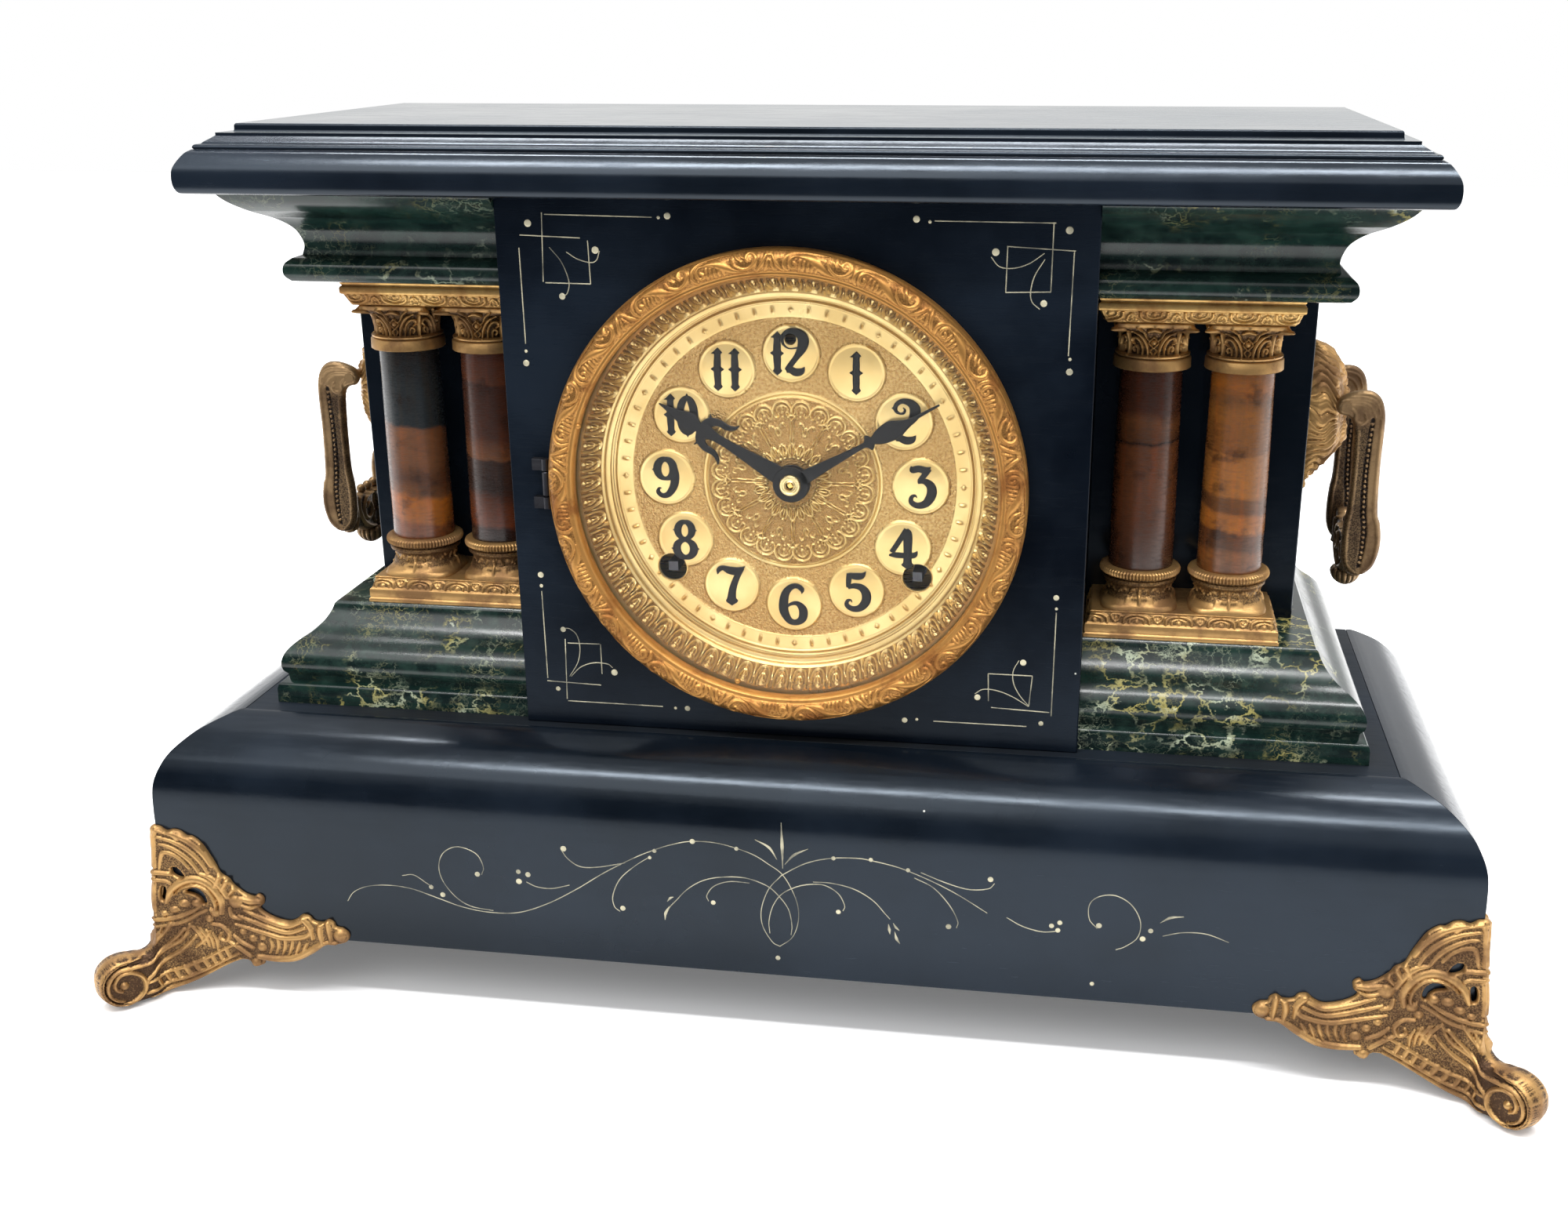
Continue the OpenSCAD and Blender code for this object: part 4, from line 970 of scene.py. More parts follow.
hollow = np.vstack([np.clip(.35 - lift, 0, 1) * 1.7, 0 * under])
grain = np.vstack([np.clip(1 - 4 * lift, 0, 1) * 0.9, 0 * under])
piece("dial_medallion", [(rows.reshape(-1, 3), faces, hollow)], dial_brass,
      stands_for="dial_centre", sharp=60, extra={"grain": grain})

# %% [markdown]
# ### Numerals
# The numerals are raised on the discs and painted black. They are an upright, pointed kind
# of figure: thick bowls, thin joins, a barb on each side and hooked ends. Each is a few
# strokes of changing width, in millimetres from the middle of its disc.

# %% Numerals
def figure(*lines):
    """Strokes from lines of (x, y, half width) points: two points stay straight, more are smoothed."""
    runs = [curve(line, 6 * len(line)) if len(line) > 2 else np.linspace(*line, 5) for line in lines]
    return [np.column_stack([run, np.ones(len(run))]) for run in runs]


def hoop(cx, cz, rx, rz, w):
    """A closed ring of stroke, thicker at its sides: its width follows the sine of the angle."""
    a = np.linspace(0, 2 * np.pi, 40)
    width = w * (0.62 + 0.5 * np.abs(np.sin(a)))
    return np.column_stack([cx + rx * np.sin(a), cz + rz * np.cos(a), width, np.ones(40)])


def barb(x, z, x2, z2, w=.85):
    """A small thorn from a thick end at x2 to a point at x."""
    return figure([(x, z, .06), (x2, z2, w)])[0]


BAR = figure([(0, 6.7, .06), (0, 5.9, .7), (0, 5.2, 1.15), (0, 4.6, .8), (0, 2, .95), (0, .9, 1.0),
              (0, .1, 1.7), (0, -.7, 1.0), (0, -2, .95), (0, -4.6, .8), (0, -5.3, 1.1), (0, -5.9, .8),
              (0, -6.7, .06)])
BAR += [barb(-1.9, 5, -.3, 5.3, .5)]
TWO = figure([(-1.2, 2.6, .25), (-2.6, 3.6, .45), (-2.5, 5.4, .55), (-.6, 6.6, .6), (1.9, 6.0, .9),
              (3.3, 4.2, 1.3), (3.0, 2.0, 1.2), (1.2, -.6, .8), (-1.0, -3.2, .75), (-2.4, -5.2, .7)],
             [(-2.6, -5.3, .6), (-1.2, -5, .85), (.8, -5.7, .95), (2.6, -5.3, .8), (3.7, -4, .08)],
             [(-1.4, 2.7, .3), (-.2, 2.9, .4), (.2, 3.9, .3), (-.4, 4.6, .1)])
TWO += [barb(-3.9, 4.3, -2.5, 4.5)]
FIGURES = {
    3: figure([(-3.2, 6.5, .1), (-2.7, 5.4, .75), (-.9, 5.8, .8), (1.2, 5.5, .8), (3, 6.4, .1)],
              [(2.6, 5.9, .6), (1, 3.8, .7), (-.6, 1.9, .6)],
              [(-1, 1.5, .5), (1, 1.9, .8), (3, .4, 1.15), (3.3, -2.2, 1.25), (1.8, -5, 1), (-.8, -6, .75),
               (-2.9, -5, .65), (-2.9, -3.4, .5), (-1.8, -2.7, .35), (-1.2, -3.5, .08)])
    + [barb(4.9, -1.2, 3.4, -1.2)],
    4: figure([(.9, 6.5, .5), (-1, 2.8, .7), (-3.5, -1.2, .7)],
              [(-4.4, -2.2, .2), (-2, -2, .8), (2.2, -2.1, .75), (3.8, -1.7, .7), (4.6, -.5, .08)],
              [(1.5, 6.7, .1), (1.5, 5, 1.05), (1.5, 0, 1.15), (1.5, -4.2, 1.05), (1.5, -5.3, 1.5),
               (1.5, -6.7, .06)]),
    5: figure([(-2.5, 5.6, .5), (-.6, 5.1, .85), (1.7, 5.3, .8), (3.1, 6.7, .1)],
              [(-2.3, 6, .6), (-2.4, 3.6, .7), (-2.6, 1.3, .5)],
              [(-2.6, 1.2, .5), (-.6, 1.9, .8), (1.8, 1.3, 1), (3.2, -.8, 1.2), (3, -3.4, 1.15),
               (1.2, -5.5, .9), (-1.2, -5.9, .7), (-3, -4.7, .6), (-2.8, -3.3, .45), (-1.8, -2.9, .3),
               (-1.3, -3.7, .08)])
    + [barb(4.8, -1.9, 3.2, -1.9)],
    6: figure([(2.7, 3.9, .1), (2.7, 5.2, .6), (1.2, 6.3, .6), (-.8, 5.9, .75), (-2.6, 3.8, 1),
               (-3.2, .6, 1.25), (-3.1, -2.4, 1.2), (-1.5, -5.4, .85), (.8, -6, .75),
               (2.8, -4.5, 1.05), (3, -1.6, 1.1), (1.3, .5, .75), (-.8, .3, .55),
               (-2.2, -.9, .3)]) + [barb(-4.8, -.6, -3.2, -.6), barb(4.5, -3, 3, -3)],
    7: figure([(-4.5, 3.8, .1), (-4.1, 5.2, .6), (-2.7, 5.9, .6), (-.6, 5.2, .95), (1.8, 5.1, .95),
               (4.4, 6.5, .1)],
              [(3.7, 6, .5), (1.9, 3.2, .8), (.5, -.6, 1.05), (0, -3.8, 1.1), (0, -5.3, 1.5),
               (0, -6.7, .06)]),
    8: [hoop(0, 3.2, 2.3, 2.7, .85), hoop(0, -3, 2.8, 2.9, .95), barb(-3.9, 3.2, -2.3, 3.2),
        barb(3.9, 3.2, 2.3, 3.2), barb(-4.6, -3, -2.8, -3), barb(4.6, -3, 2.8, -3)],
    9: [hoop(-.2, 2.9, 2.6, 3.1, .95), barb(-4.6, 2.6, -2.9, 2.6)]
    + figure([(2.4, 3.8, .9), (2.8, .6, 1.15), (2.3, -2.6, 1.05), (.6, -5.3, .8), (-1.4, -5.9, .6),
              (-2.8, -4.8, .55), (-2.5, -3.6, .35), (-1.6, -3.4, .08)]),
    2: TWO, 1: BAR, 11: moved(BAR, -2.7) + moved(BAR, 2.7),
    10: moved(BAR, -3.3) + [hoop(2, 0, 2.2, 5.5, .95), barb(2, 6.9, 2, 5.2, .7), barb(2, -6.9, 2, -5.2, .7),
                            barb(5.4, 0, 4.3, 0), barb(-.9, .3, -.2, .1, .2)],
    12: moved(BAR, -4.2) + figure([(2.1, 1.9, .3), (-.6, 1.7, .3), (-2.4, 3.2, .35), (-2.4, 5.4, .5),
                                   (-.6, 6.9, .6), (2, 6.6, .9), (3.8, 4.8, 1.3), (3.7, 2.4, 1.25),
                                   (2, -.6, .85), (.2, -3, .75), (-1.2, -5.2, .7)],
                                  [(-1.4, -5.3, .5), (0, -5, .85), (1.6, -5.7, .95), (3.3, -5.3, .8),
                                   (4.3, -4, .08)])}
parts = []
for number, lines in FIGURES.items():
    t = math.radians(30 * number)
    put = on_front(-YDIAL, DX + NUMBER_R * math.sin(t), DZ + NUMBER_R * math.cos(t))
    parts += [ribbon(line * (1, 1, 1.3, 0.98 - 0.015 * k), put, 0.36, 0.2) for k, line in enumerate(lines)]
piece("numerals", parts, black, sharp=40)

# %% [markdown]
# ### Hands
# The hands are sawn from blackened steel: the hour hand ends in a leaf above two sickle
# horns, the minute hand in a long leaf with a thin point.

# %% Hands
def along(angle, y):
    """Places (distance from the hub, sideways, height) along a hand that points to angle,
    clockwise from the top."""
    s, c = math.sin(math.radians(angle)), math.cos(math.radians(angle))
    return lambda u, v, h: np.stack([DX + u * s + v * c, y - h, DZ + u * c - v * s], -1)


def hub(r_out, r_in, y0, y1):
    """A flat ring with broken edges between the depths y0 and y1, y1 in front."""
    h, e = y1 - y0, 0.12
    section = [(r_in, 0), (r_out, 0), (r_out, h - e), (r_out - e, h), (r_in + e, h), (r_in, h - e)]
    return turned(section, on_front(-y0, DX, DZ), 72)


def sheet(rows):
    """A stroke from rows of (distance, sideways, half width), smoothed, for a hand 0.7 mm thick."""
    line = curve(rows, 7 * len(rows))
    return np.column_stack([line, np.full(len(line), 0.7)])


def sawn(lines, angle, y):
    """The strokes of one hand as bars with broken edges; each is a hair thinner than the last, so
    that no two of their faces lie in one plane."""
    return [ribbon(line * (1, 1, 1, 1 - .01 * k), along(angle, y), 0.0, 0.15)
            for k, line in enumerate(lines)]


# %% Hour and minute hands
hour_lines = [sheet([(4.6, 0, 2.6), (6, 0, 2.9), (12, 0, 2.35), (20, 0, 1.6), (25, 0, 1.3), (29, 0, 1.6),
                     (31.5, 0, 2.6), (33.5, 0, 1.5)]),
              sheet([(33, 0, 1.2), (34.2, 0, 1.7), (37, 0, 3.1), (40, 0, 2.2), (44, 0, 1.1),
                     (48.3, 0, .12)])]
hour_lines += [sheet([(33.4, 1.0 * k, .7), (31.8, 3.2 * k, 1.3), (29, 4.6 * k, 1.1), (26, 4.7 * k, .9),
                      (23.9, 5.8 * k, .6), (23, 7.2 * k, .2)]) * (1, 1, 1, .96) for k in (-1, 1)]
hour_lines += [sheet([(30.6, 2.2 * k, .9), (31.6, 3.8 * k, .7), (32.6, 5.6 * k, .08)]) * (1, 1, 1, .94)
               for k in (-1, 1)]
piece("hour_hand_leaf", [*sawn(hour_lines, HOUR, -41.7), hub(5.9, 3.2, 41.7, 42.45)], black,
      body="hour", stands_for="hour_hand", sharp=30)
minute_lines = [sheet([(3.8, 0, 1.9), (5, 0, 2.2), (12, 0, 1.65), (20, 0, 1.1), (26, 0, .8), (27.4, 0, 1.2),
                       (28.2, 0, 2.4), (29.0, 0, 2.2), (29.9, 0, 1.1)]),
                sheet([(29.6, 0, .9), (30.4, 0, 1.5), (33, 0, 2.6), (37, 0, 3.0), (40.3, 0, 1.6),
                       (43, 0, .8), (48, 0, .5), (53.3, 0, .3)])]
piece("minute_hand_leaf", [*sawn(minute_lines, MINUTE, -43.5), hub(5.7, 1.5, 43.5, 44.2)], black,
      body="minute", stands_for="minute_hand", sharp=30)
nut = [(1.45, 0), (3.3, 0), (3.3, 1.2), (3.05, 1.5), (2.5, 1.55), (2.3, 1.35), (1.9, 1.3), (1.7, 1.6),
       (1.35, 1.8), (1.35, .4)]
piece("hand_nut_turned", [turned(nut, on_front(-44.2, DX, DZ), 64)], nut_brass,
      body="minute", stands_for="hand_nut", sharp=30)

# %% [markdown]
# ### Glass
# A flat pane in the bezel. Shadow rays pass it, so that the dial is lit, and its low index
# keeps the reflection of the white room faint.

# %% Glass
glass_skin, t, s = finish("pane_glass", Transmission_Weight=1.0, IOR=1.22, Roughness=0.0)
shadow = t.nodes.new("ShaderNodeLightPath").outputs["Is Shadow Ray"]
feed(t, s, Alpha=add(t, "Math", operation="SUBTRACT", a=1.0, b=shadow),
     Base_Color=mix(t, between(t, noise(t, spots(t), 20.0, 2.0), 0.3, 0.7), seen(255, 255, 255),
                    seen(250, 252, 250)))
nodes["glass"].data.materials.clear()
nodes["glass"].data.materials.append(glass_skin)
print("glass set")

# %% [markdown]
# ## Inlaid lines
# Fine lines are cut into the enamel with a graver and rubbed with gold, then dotted with a
# punch. Here each line is a hair-thin ribbon that stands a tenth of a millimetre proud, so
# that it catches light like the real cut. Places are (x, z) in millimetres.

# %% Corner lines of the front panel
LINE, HAIR = 0.17, 0.13


def lines(runs, dots, leaves=()):
    """Strokes for the inlay: runs of points, thinner at the ends where they curve, dots of
    (x, z, radius) and leaves of (points, half width)."""
    out = [stroke(run, LINE if len(run) == 2 else (HAIR, LINE, HAIR), 0.12, 8 * len(run)) for run in runs]
    out += [stroke(run, (.08, w, .08), 0.13, 14) for run, w in leaves]
    return out, dots


def inlay(name, drawn, y):
    """Lays strokes and dots on the plane y."""
    runs, dots = drawn
    parts = [(*ribbon(run, on_front(y))[:2], 0.7) for run in runs]
    for x, z, r in dots:
        dome = [(0.01, 0), (r, 0), (r * .9, .09), (r * .5, .15), (0.01, .17)]
        parts.append(turned(dome, on_front(y, x, z), 14, 0.5))
    return piece(name, parts, line_gold, sharp=60)


CORNERS = lines([[(-74.5, 260), (-41.5, 259.6)], [(-83, 250), (-82.8, 221)], [(-75.3, 260.5), (-76, 240)],
                 [(-82.5, 253.8), (-63.8, 253.2)], [(-61.5, 252.5), (-61.2, 239.6)],
                 [(-75.3, 239.7), (-61.2, 239.6)],
                 [(-73.5, 250.3), (-70, 246), (-68, 240.5), (-68.5, 237), (-70, 235.5)],
                 [(-68.3, 249), (-65, 247), (-61, 246), (-59, 246.8), (-58, 249.5)],
                 [(42.5, 259.7), (77.3, 259.6)], [(82.8, 251.5), (82.3, 221.5)],
                 [(76.7, 259.8), (76.5, 240)], [(63.5, 252.8), (83.2, 251.8)],
                 [(63.7, 252.8), (63.5, 239.5)], [(63.5, 239.6), (76.6, 240)],
                 [(74.3, 251), (70, 248), (65.5, 246.6), (61.5, 247), (59, 249.7)],
                 [(74.5, 249.3), (71.7, 244.5), (70.7, 240), (71.2, 237), (73.5, 234.9)],
                 [(-82.7, 141), (-82.5, 111)], [(-76, 103.3), (-44, 103.2)], [(-82.7, 110), (-64.5, 109.5)],
                 [(-75.8, 125), (-76.3, 104)], [(-75, 123.6), (-64.3, 123.8)], [(-64, 123.8), (-64, 113.5)],
                 [(-75, 112), (-72, 117), (-71, 122), (-71.8, 126.5), (-74, 128.5), (-75.5, 128.7)],
                 [(-74.5, 112), (-71, 115.5), (-66.5, 117.2), (-62, 117), (-60.3, 115.8)],
                 [(81.9, 142), (81.6, 107.5)], [(44.5, 103.5), (74, 103.5)], [(62.7, 109.3), (81, 108.7)],
                 [(61.8, 111.5), (61.5, 120.7)], [(61.5, 120.7), (75.3, 120.7)],
                 [(75.3, 120.7), (74.5, 110.5)],
                 [(74.5, 110.3), (69, 113.5), (64, 115.2), (60, 115.3), (57.5, 113.7)],
                 [(74.5, 110.5), (71.5, 114), (69.5, 118), (69.3, 122), (71, 125.7)]],
                [(-39.5, 259.5, .5), (-36.8, 260, 1), (-82.8, 218.7, .5), (-83, 215, 1), (-70.3, 235.7, 1),
                 (-59.3, 249.7, 1.1), (-79.8, 257.3, 1.1), (37.2, 260.1, 1), (41.1, 259.4, .5),
                 (82.8, 220.5, .5), (82.8, 216.8, 1), (60.3, 251.1, 1.1), (74.6, 236.6, 1),
                 (81.2, 257.6, 1.1), (-82.7, 146.5, 1), (-82.7, 142.8, .6), (-39.8, 102.9, .5),
                 (-35.8, 103, .9), (-76.3, 128.2, .9), (-59.8, 114.2, 1.1), (-79.2, 107.4, .8),
                 (81.7, 146.8, .9), (81.9, 143.2, .5), (35.3, 103.3, .9), (39.2, 103.8, .5),
                 (58.3, 112.5, 1), (72.3, 125, 1), (78.5, 104.8, .8)])
inlay("panel_lines", CORNERS, -YPAN)

# %% Spray on the base
SPRAY = lines([[(-147, 38.5), (-144.5, 42), (-139.5, 44.5), (-132, 45.5), (-124, 44.8), (-115, 42),
                (-107, 39.5), (-98, 38.3), (-88, 39), (-78, 43), (-68, 49), (-58, 56), (-48, 62), (-42, 65),
                (-36, 67.5), (-29, 69.3), (-20, 69.2), (-10, 66.5), (-4, 63), (0, 60), (3, 55), (5, 49),
                (5, 43), (3, 37.5), (-1, 34)],
               [(-1, 34), (-3.5, 35.5), (-6.5, 41), (-6.8, 47), (-4.5, 54), (-1, 58.5), (1, 60.3),
                (8, 64.5), (16, 66.8), (24, 67.4), (28, 67), (35, 65.7), (40, 64.2), (48, 61), (56, 57),
                (65, 51.5)], [(71, 50.5), (76, 47.8), (82, 46.4), (87, 47)],
               [(-38.5, 41.5), (-37, 45), (-34.5, 48), (-31, 52), (-26, 55.5), (-20, 57.3), (-12, 57.7),
                (-5, 55.5), (-1, 52), (2, 47.5), (3, 42), (2.7, 38.5)],
               [(-4.2, 38.5), (-4.4, 43), (-3, 48.5), (0, 53), (5, 56), (10, 57.2), (14, 57), (18, 54.5),
                (20, 50.5), (19.5, 48.5)],
               [(10, 58), (16, 58), (23, 56.5), (29, 53), (33, 48.5), (34.5, 46.8)],
               [(-10.5, 56), (-17, 56), (-22, 54), (-24.5, 50.5), (-24, 48.5)],
               [(-42.5, 63), (-48, 59), (-53, 54), (-55.6, 48), (-55.3, 44), (-53.5, 42.3)],
               [(-51, 60), (-60, 57.8), (-66, 57.5), (-70, 60), (-72, 63)],
               [(-70, 50.5), (-76, 48.8), (-81, 49), (-84.5, 50.5)],
               [(-96.5, 39), (-104, 40), (-109, 43), (-113, 48.5), (-114, 54), (-112, 59), (-107, 61.5),
                (-101, 59.5), (-98.8, 55), (-99.5, 52)],
               [(-127, 49.5), (-123, 50), (-119, 47.5), (-117.5, 46.5)],
               [(44, 64), (52, 61), (59, 59.3), (65, 60), (67, 62)],
               [(42, 62), (48, 59), (53, 53.5), (55.8, 48), (55.5, 45.5)],
               [(99, 49), (96.5, 52), (96.3, 57), (99, 60), (104, 60.8), (109, 58), (112, 52.5),
                (111.5, 47), (108, 43.5), (105, 42)], [(119, 48), (125, 49.7), (132, 49.8), (139, 47.5)]],
              [(18, 48, .8), (-22.5, 48, .8), (-52.5, 43.5, .9), (-41.2, 65, .7), (-42.8, 62.5, .6),
               (-28.7, 69.3, .9), (-14.5, 67.8, .7), (-71.3, 63.5, 1), (-87, 54, .8), (-87, 50.5, 1),
               (-83.8, 53.2, .9), (-101, 52, .9), (-117.3, 46, .8), (-113.5, 43.5, .9), (-1.7, 29.7, .8),
               (16.5, 66.8, .7), (28.3, 67.2, .7), (40, 64.5, .7), (65.7, 63.3, .9), (53, 45.7, .9),
               (85, 48.7, .8), (87.5, 50, .8), (87, 47.3, .8), (99.5, 50, .9), (115.3, 49.5, .8),
               (113, 46.5, .9), (98.3, 29.3, .7)],
              [([(.3, 62), (.2, 70), (0, 78)], .55), ([(-1.5, 65), (-4, 69), (-8.5, 71.5)], .45),
               ([(1, 63.5), (4, 67), (8.5, 69.5)], .45), ([(118, 52.5), (121, 54.5), (125, 55.2)], .45),
               ([(34, 45), (34.3, 43), (34.5, 41.5)], .5), ([(35.5, 45.5), (36.4, 44), (37.5, 43)], .4),
               ([(36, 42.5), (36.6, 40), (37.7, 38.3)], .5),
               ([(-35.5, 49), (-36.6, 48.5), (-37.6, 47.2)], .4),
               ([(-37, 45.5), (-38.3, 43), (-38.6, 40.5)], .5)])
inlay("base_spray", SPRAY, -YB)

# %% [markdown]
# ## Columns
# Each column is a wooden drum between a cast base and a cast capital. Base and capital are
# surfaces round the axis whose radius changes with angle and height: strokes wrap round
# them, and towards the square ends the circle turns into a square (a superellipse whose
# power grows).

# %% Shafts
shaft = [(0.01, SHAFT_FOOT), (10.1, SHAFT_FOOT), (10.2, 149.4), (10.15, 165), (10.0, 180), (9.8, 196),
         (9.6, 212),
         (9.5, SHAFT_TOP), (0.01, SHAFT_TOP)]
for k, (x, skin) in enumerate(zip(COLUMNS, shaft_skins)):
    piece(f"shaft_{k + 1}", [turned(shaft, lambda a, b, h: np.stack([x + a, COL_Y + b, h], -1), 96)], skin,
          stands_for="column_shafts")


# %% Capitals and bases
def column_end(rows, marks, lift, squared):
    """Rows of (radius, z, share of relief) round one column; marks are strokes in (distance round
    at radius 10.5, z), repeated on four sides; squared gives the superellipse power at a height."""
    a = np.linspace(0, 2 * np.pi, 288, endpoint=False)
    quarter = ((a / (np.pi / 2) + 0.5) % 1 - 0.5) * (np.pi / 2) * 10.5
    grid = np.stack(np.broadcast_arrays(quarter[None], rows[:, 1:2]), -1)
    extra = raised(grid, marks).reshape(len(rows), len(a))
    power = squared(rows[:, 1])[:, None]
    out = rows[:, :1] + lift * extra
    box = (np.abs(np.sin(a)) ** power + np.abs(np.cos(a)) ** power) ** (-1 / power)
    hollow = np.clip(0.42 - extra, 0, 1) * 1.8 * rows[:, 2:3]
    z = np.broadcast_to(rows[:, 1:2], out.shape)
    return np.stack([out * box * np.sin(a), COL_Y - out * box * np.cos(a), z], -1), np.clip(hollow, 0, 1)


def column_piece(name, made, skin, node):
    """One column end set at all four columns."""
    points, hollow = made
    parts = [(points + (x, 0, 0), capped(*hollow.shape), hollow) for x in COLUMNS]
    return piece(name, parts, skin, stands_for=node, sharp=50)


# %% Capitals
leafs = mirrored_too([stroke([(1.7, 217.9), (2.2, 220.6), (3.9, 223.4), (6.2, 224.7)], (.45, .6, .6, .3),
                             1.0, 16),
                      stroke([(3.4, 217.9), (3.7, 220.6), (5, 222.5), (6.6, 222.8), (7.2, 221.6),
                              (6.4, 220.9)], (.4, .55, .5, .35), .9, 20),
                      stroke([(5, 218.1), (5.2, 219.8), (6, 220.3), (6.7, 219.5), (6.2, 218.6)],
                             (.35, .45, .35), .8, 14),
                      stroke([(8.25, 217.9), (8.1, 221), (8.25, 224.2)], (.6, .8, .5), 1.0, 10),
                      stroke([(.3, 217.9), (1.0, 219), (.2, 219.9)], (.3, .4, .2), .7, 8),
                      stroke([(1.1, 222), (2.2, 222.9), (3, 224.6), (4.4, 226)], (.2, .4, .4), .8, 12),
                      stroke([(0, 219.9), (1.5, 221.6), (0, 223.3)], .3, .8, 8),
                      dot(8.25, 225.5, 1.15, 2.6)])
leafs += [dot(0, 221.6, 1.0, 1.1), stroke([(-1.7, 225), (0, 225.5), (1.7, 225)], (.5, .85, .5), 1.2, 10)]
z = np.concatenate([[212.7, 212.75, 213.0, 216.0, 216.3, 216.5, 216.8, 217.3, 217.6],
                    np.linspace(217.8, 226.2, 58), [226.25, 226.5, 227.4, 227.7]])
r = np.interp(z,
              [212.7, 212.75, 213, 216, 216.3, 216.5, 216.8, 217.3, 217.6, 217.8, 219, 222, 224.5, 226.2,
               226.25, 226.5, 227.4, 227.7],
              [9.8, 11.7, 12.0, 11.9, 11.6, 10.9, 11.5, 11.6, 10.6, 9.5, 9.4, 9.7, 10.4, 11.0, 11.6, 11.8,
               11.9, 11.6])
weight = step(z, 217.4, 217.9) * step(-z, -226.3, -225.9)
capital = column_end(np.column_stack([r, z, weight]), leafs, 1.35, lambda h: 2 + 9 * step(h, 224.5, 226.4))
column_piece("capitals_carved", capital, gilt_brown, "capitals")

# %% Column bases
z = np.array([135.8, 135.85, 136.2, 137.2, 137.5, 138.2, 139.2, 140.0, 140.4, 140.6, 141.0, 141.6, 142.3,
              143.0, 143.5, 143.8, 144.1, 144.7, 145.2, 145.5, 145.7, 145.9, 146.2, 146.6, 147.0, 147.4,
              147.8, 148.2, 148.5, 148.7, 148.8])
r = np.array([12.1, 12.3, 12.3, 12.0, 11.8, 11.3, 10.9, 10.6, 10.4, 10.0, 9.8, 9.8, 10.0, 10.3, 10.8, 11.3,
              11.7, 11.8, 11.6, 11.0, 11.0, 11.5, 12.0, 12.3, 12.4, 12.4, 12.3, 12.1, 11.8, 11.3, 10.4])
beads = [stroke([(u, 146.2), (u, 148.2)], .34, .55) for u in np.arange(-8.25, 8.3, .9166)]
neck = mirrored_too([stroke([(1.0, 142.8), (2.4, 142.2), (3.4, 140.9)], (.3, .45, .2), .8, 10),
                     stroke([(3.6, 142.6), (5.4, 142.3), (7.4, 141)], (.2, .35, .2), .6, 10),
                     stroke([(.4, 139.8), (2.6, 139.6), (5, 138.6)], (.3, .5, .2), .6, 10)])
neck += [dot(0, 142.2, .9, 1.1), stroke([(0, 141), (0, 138.4)], (.7, .4), .8)]
base_rows = np.column_stack([r, z, step(z, 138, 139) * step(-z, -148.6, -148.3) * 0.8])
carved_base = column_end(base_rows, beads + neck, 0.95, lambda h: 2 + 2.2 * step(-h, -138.6, -136.6))
column_piece("bases_carved", carved_base, gilt_brown, "column_bases")

# %% [markdown]
# ### Plates above and below the columns
# A pressed brass plate joins each pair of columns at top and bottom. Its edge carries a row
# of arches with little leaves between, and slopes back towards the columns.

# %% Plates
def edge_plate(side, levels, marks, lift):
    """A plate with three shaped edges: levels are (inset, z, share of relief); marks are strokes in
    (x along the front, z). The relief dies out towards the mitred corners."""
    x0, x1, y0, y1 = PW + 0.1, XW - 6.5, -PLATE_Y, -YWING - 0.05
    edges = [((x0, y1), (x0, y0), (-1, 0), (0, 1)), ((x0, y0), (x1, y0), (0, -1), (1, 1)),
             ((x1, y0), (x1, y1), (1, 0), (1, 0))]  # from, to, way out, which ends are mitred
    rows, tone = [], []
    for (ax, ay), (bx, by), (nx, ny), (cut_a, cut_b) in edges:
        length = math.hypot(bx - ax, by - ay)
        n = max(6, int(length / 0.3))
        t = np.linspace(0, 1, n)[None]
        i = levels[:, :1]
        dx, dy = (bx - ax) / length, (by - ay) / length
        start, stop = i * cut_a, length - i * cut_b
        s = start + (stop - start) * t
        place = (ax + s * dx) if ny else (120 + s - length / 2)
        grid = np.stack(np.broadcast_arrays(place, levels[:, 1:2]), -1)
        carve = raised(grid, marks).reshape(len(levels), n) * levels[:, 2:3]
        carve = carve * np.clip(np.minimum(s - start, stop - s) / 1.2, 0, 1)
        off = lift * carve - i
        z = np.broadcast_to(levels[:, 1:2], s.shape)
        rows.append(np.stack([ax + s * dx + nx * off, ay + s * dy + ny * off, z], -1))
        tone.append(np.clip(0.36 - carve, 0, 1) * 1.5 * levels[:, 2:3])
    points, tone = np.concatenate(rows, 1) * (side, 1, 1), np.concatenate(tone, 1)
    return points.reshape(-1, 3), capped(*tone.shape), tone


def arches(low, high, standing):
    """Arches every 13.3 mm with a trefoil between, between the heights low and high."""
    tall = high - low
    z = (lambda s: low + s * tall) if standing else (lambda s: high - s * tall)
    unit = mirrored_too([stroke([(4.1, z(0)), (3.8, z(.55)), (2.1, z(.9)), (0, z(1.0))], (.5, .55, .5), 1.0,
                                14),
                         stroke([(2.3, z(0)), (2.0, z(.4)), (0, z(.66))], (.3, .4, .35), .7, 10),
                         stroke([(6.65, z(.1)), (5.7, z(.4)), (5.2, z(.85))], (.3, .5, .3), .8, 10),
                         stroke([(6.65, z(1.0)), (5.6, z(.95)), (4.6, z(.7))], (.3, .35, .2), .6, 10)])
    unit += [dot(0, z(.2), .75, .8), dot(6.65, z(.5), .6, .9), dot(6.65, z(.9), .45, .7),
             dot(-6.65, z(.5), .6, .9)]
    return [m for k in range(-3, 4) for m in moved(unit, 120.2 + 13.3 * k)]


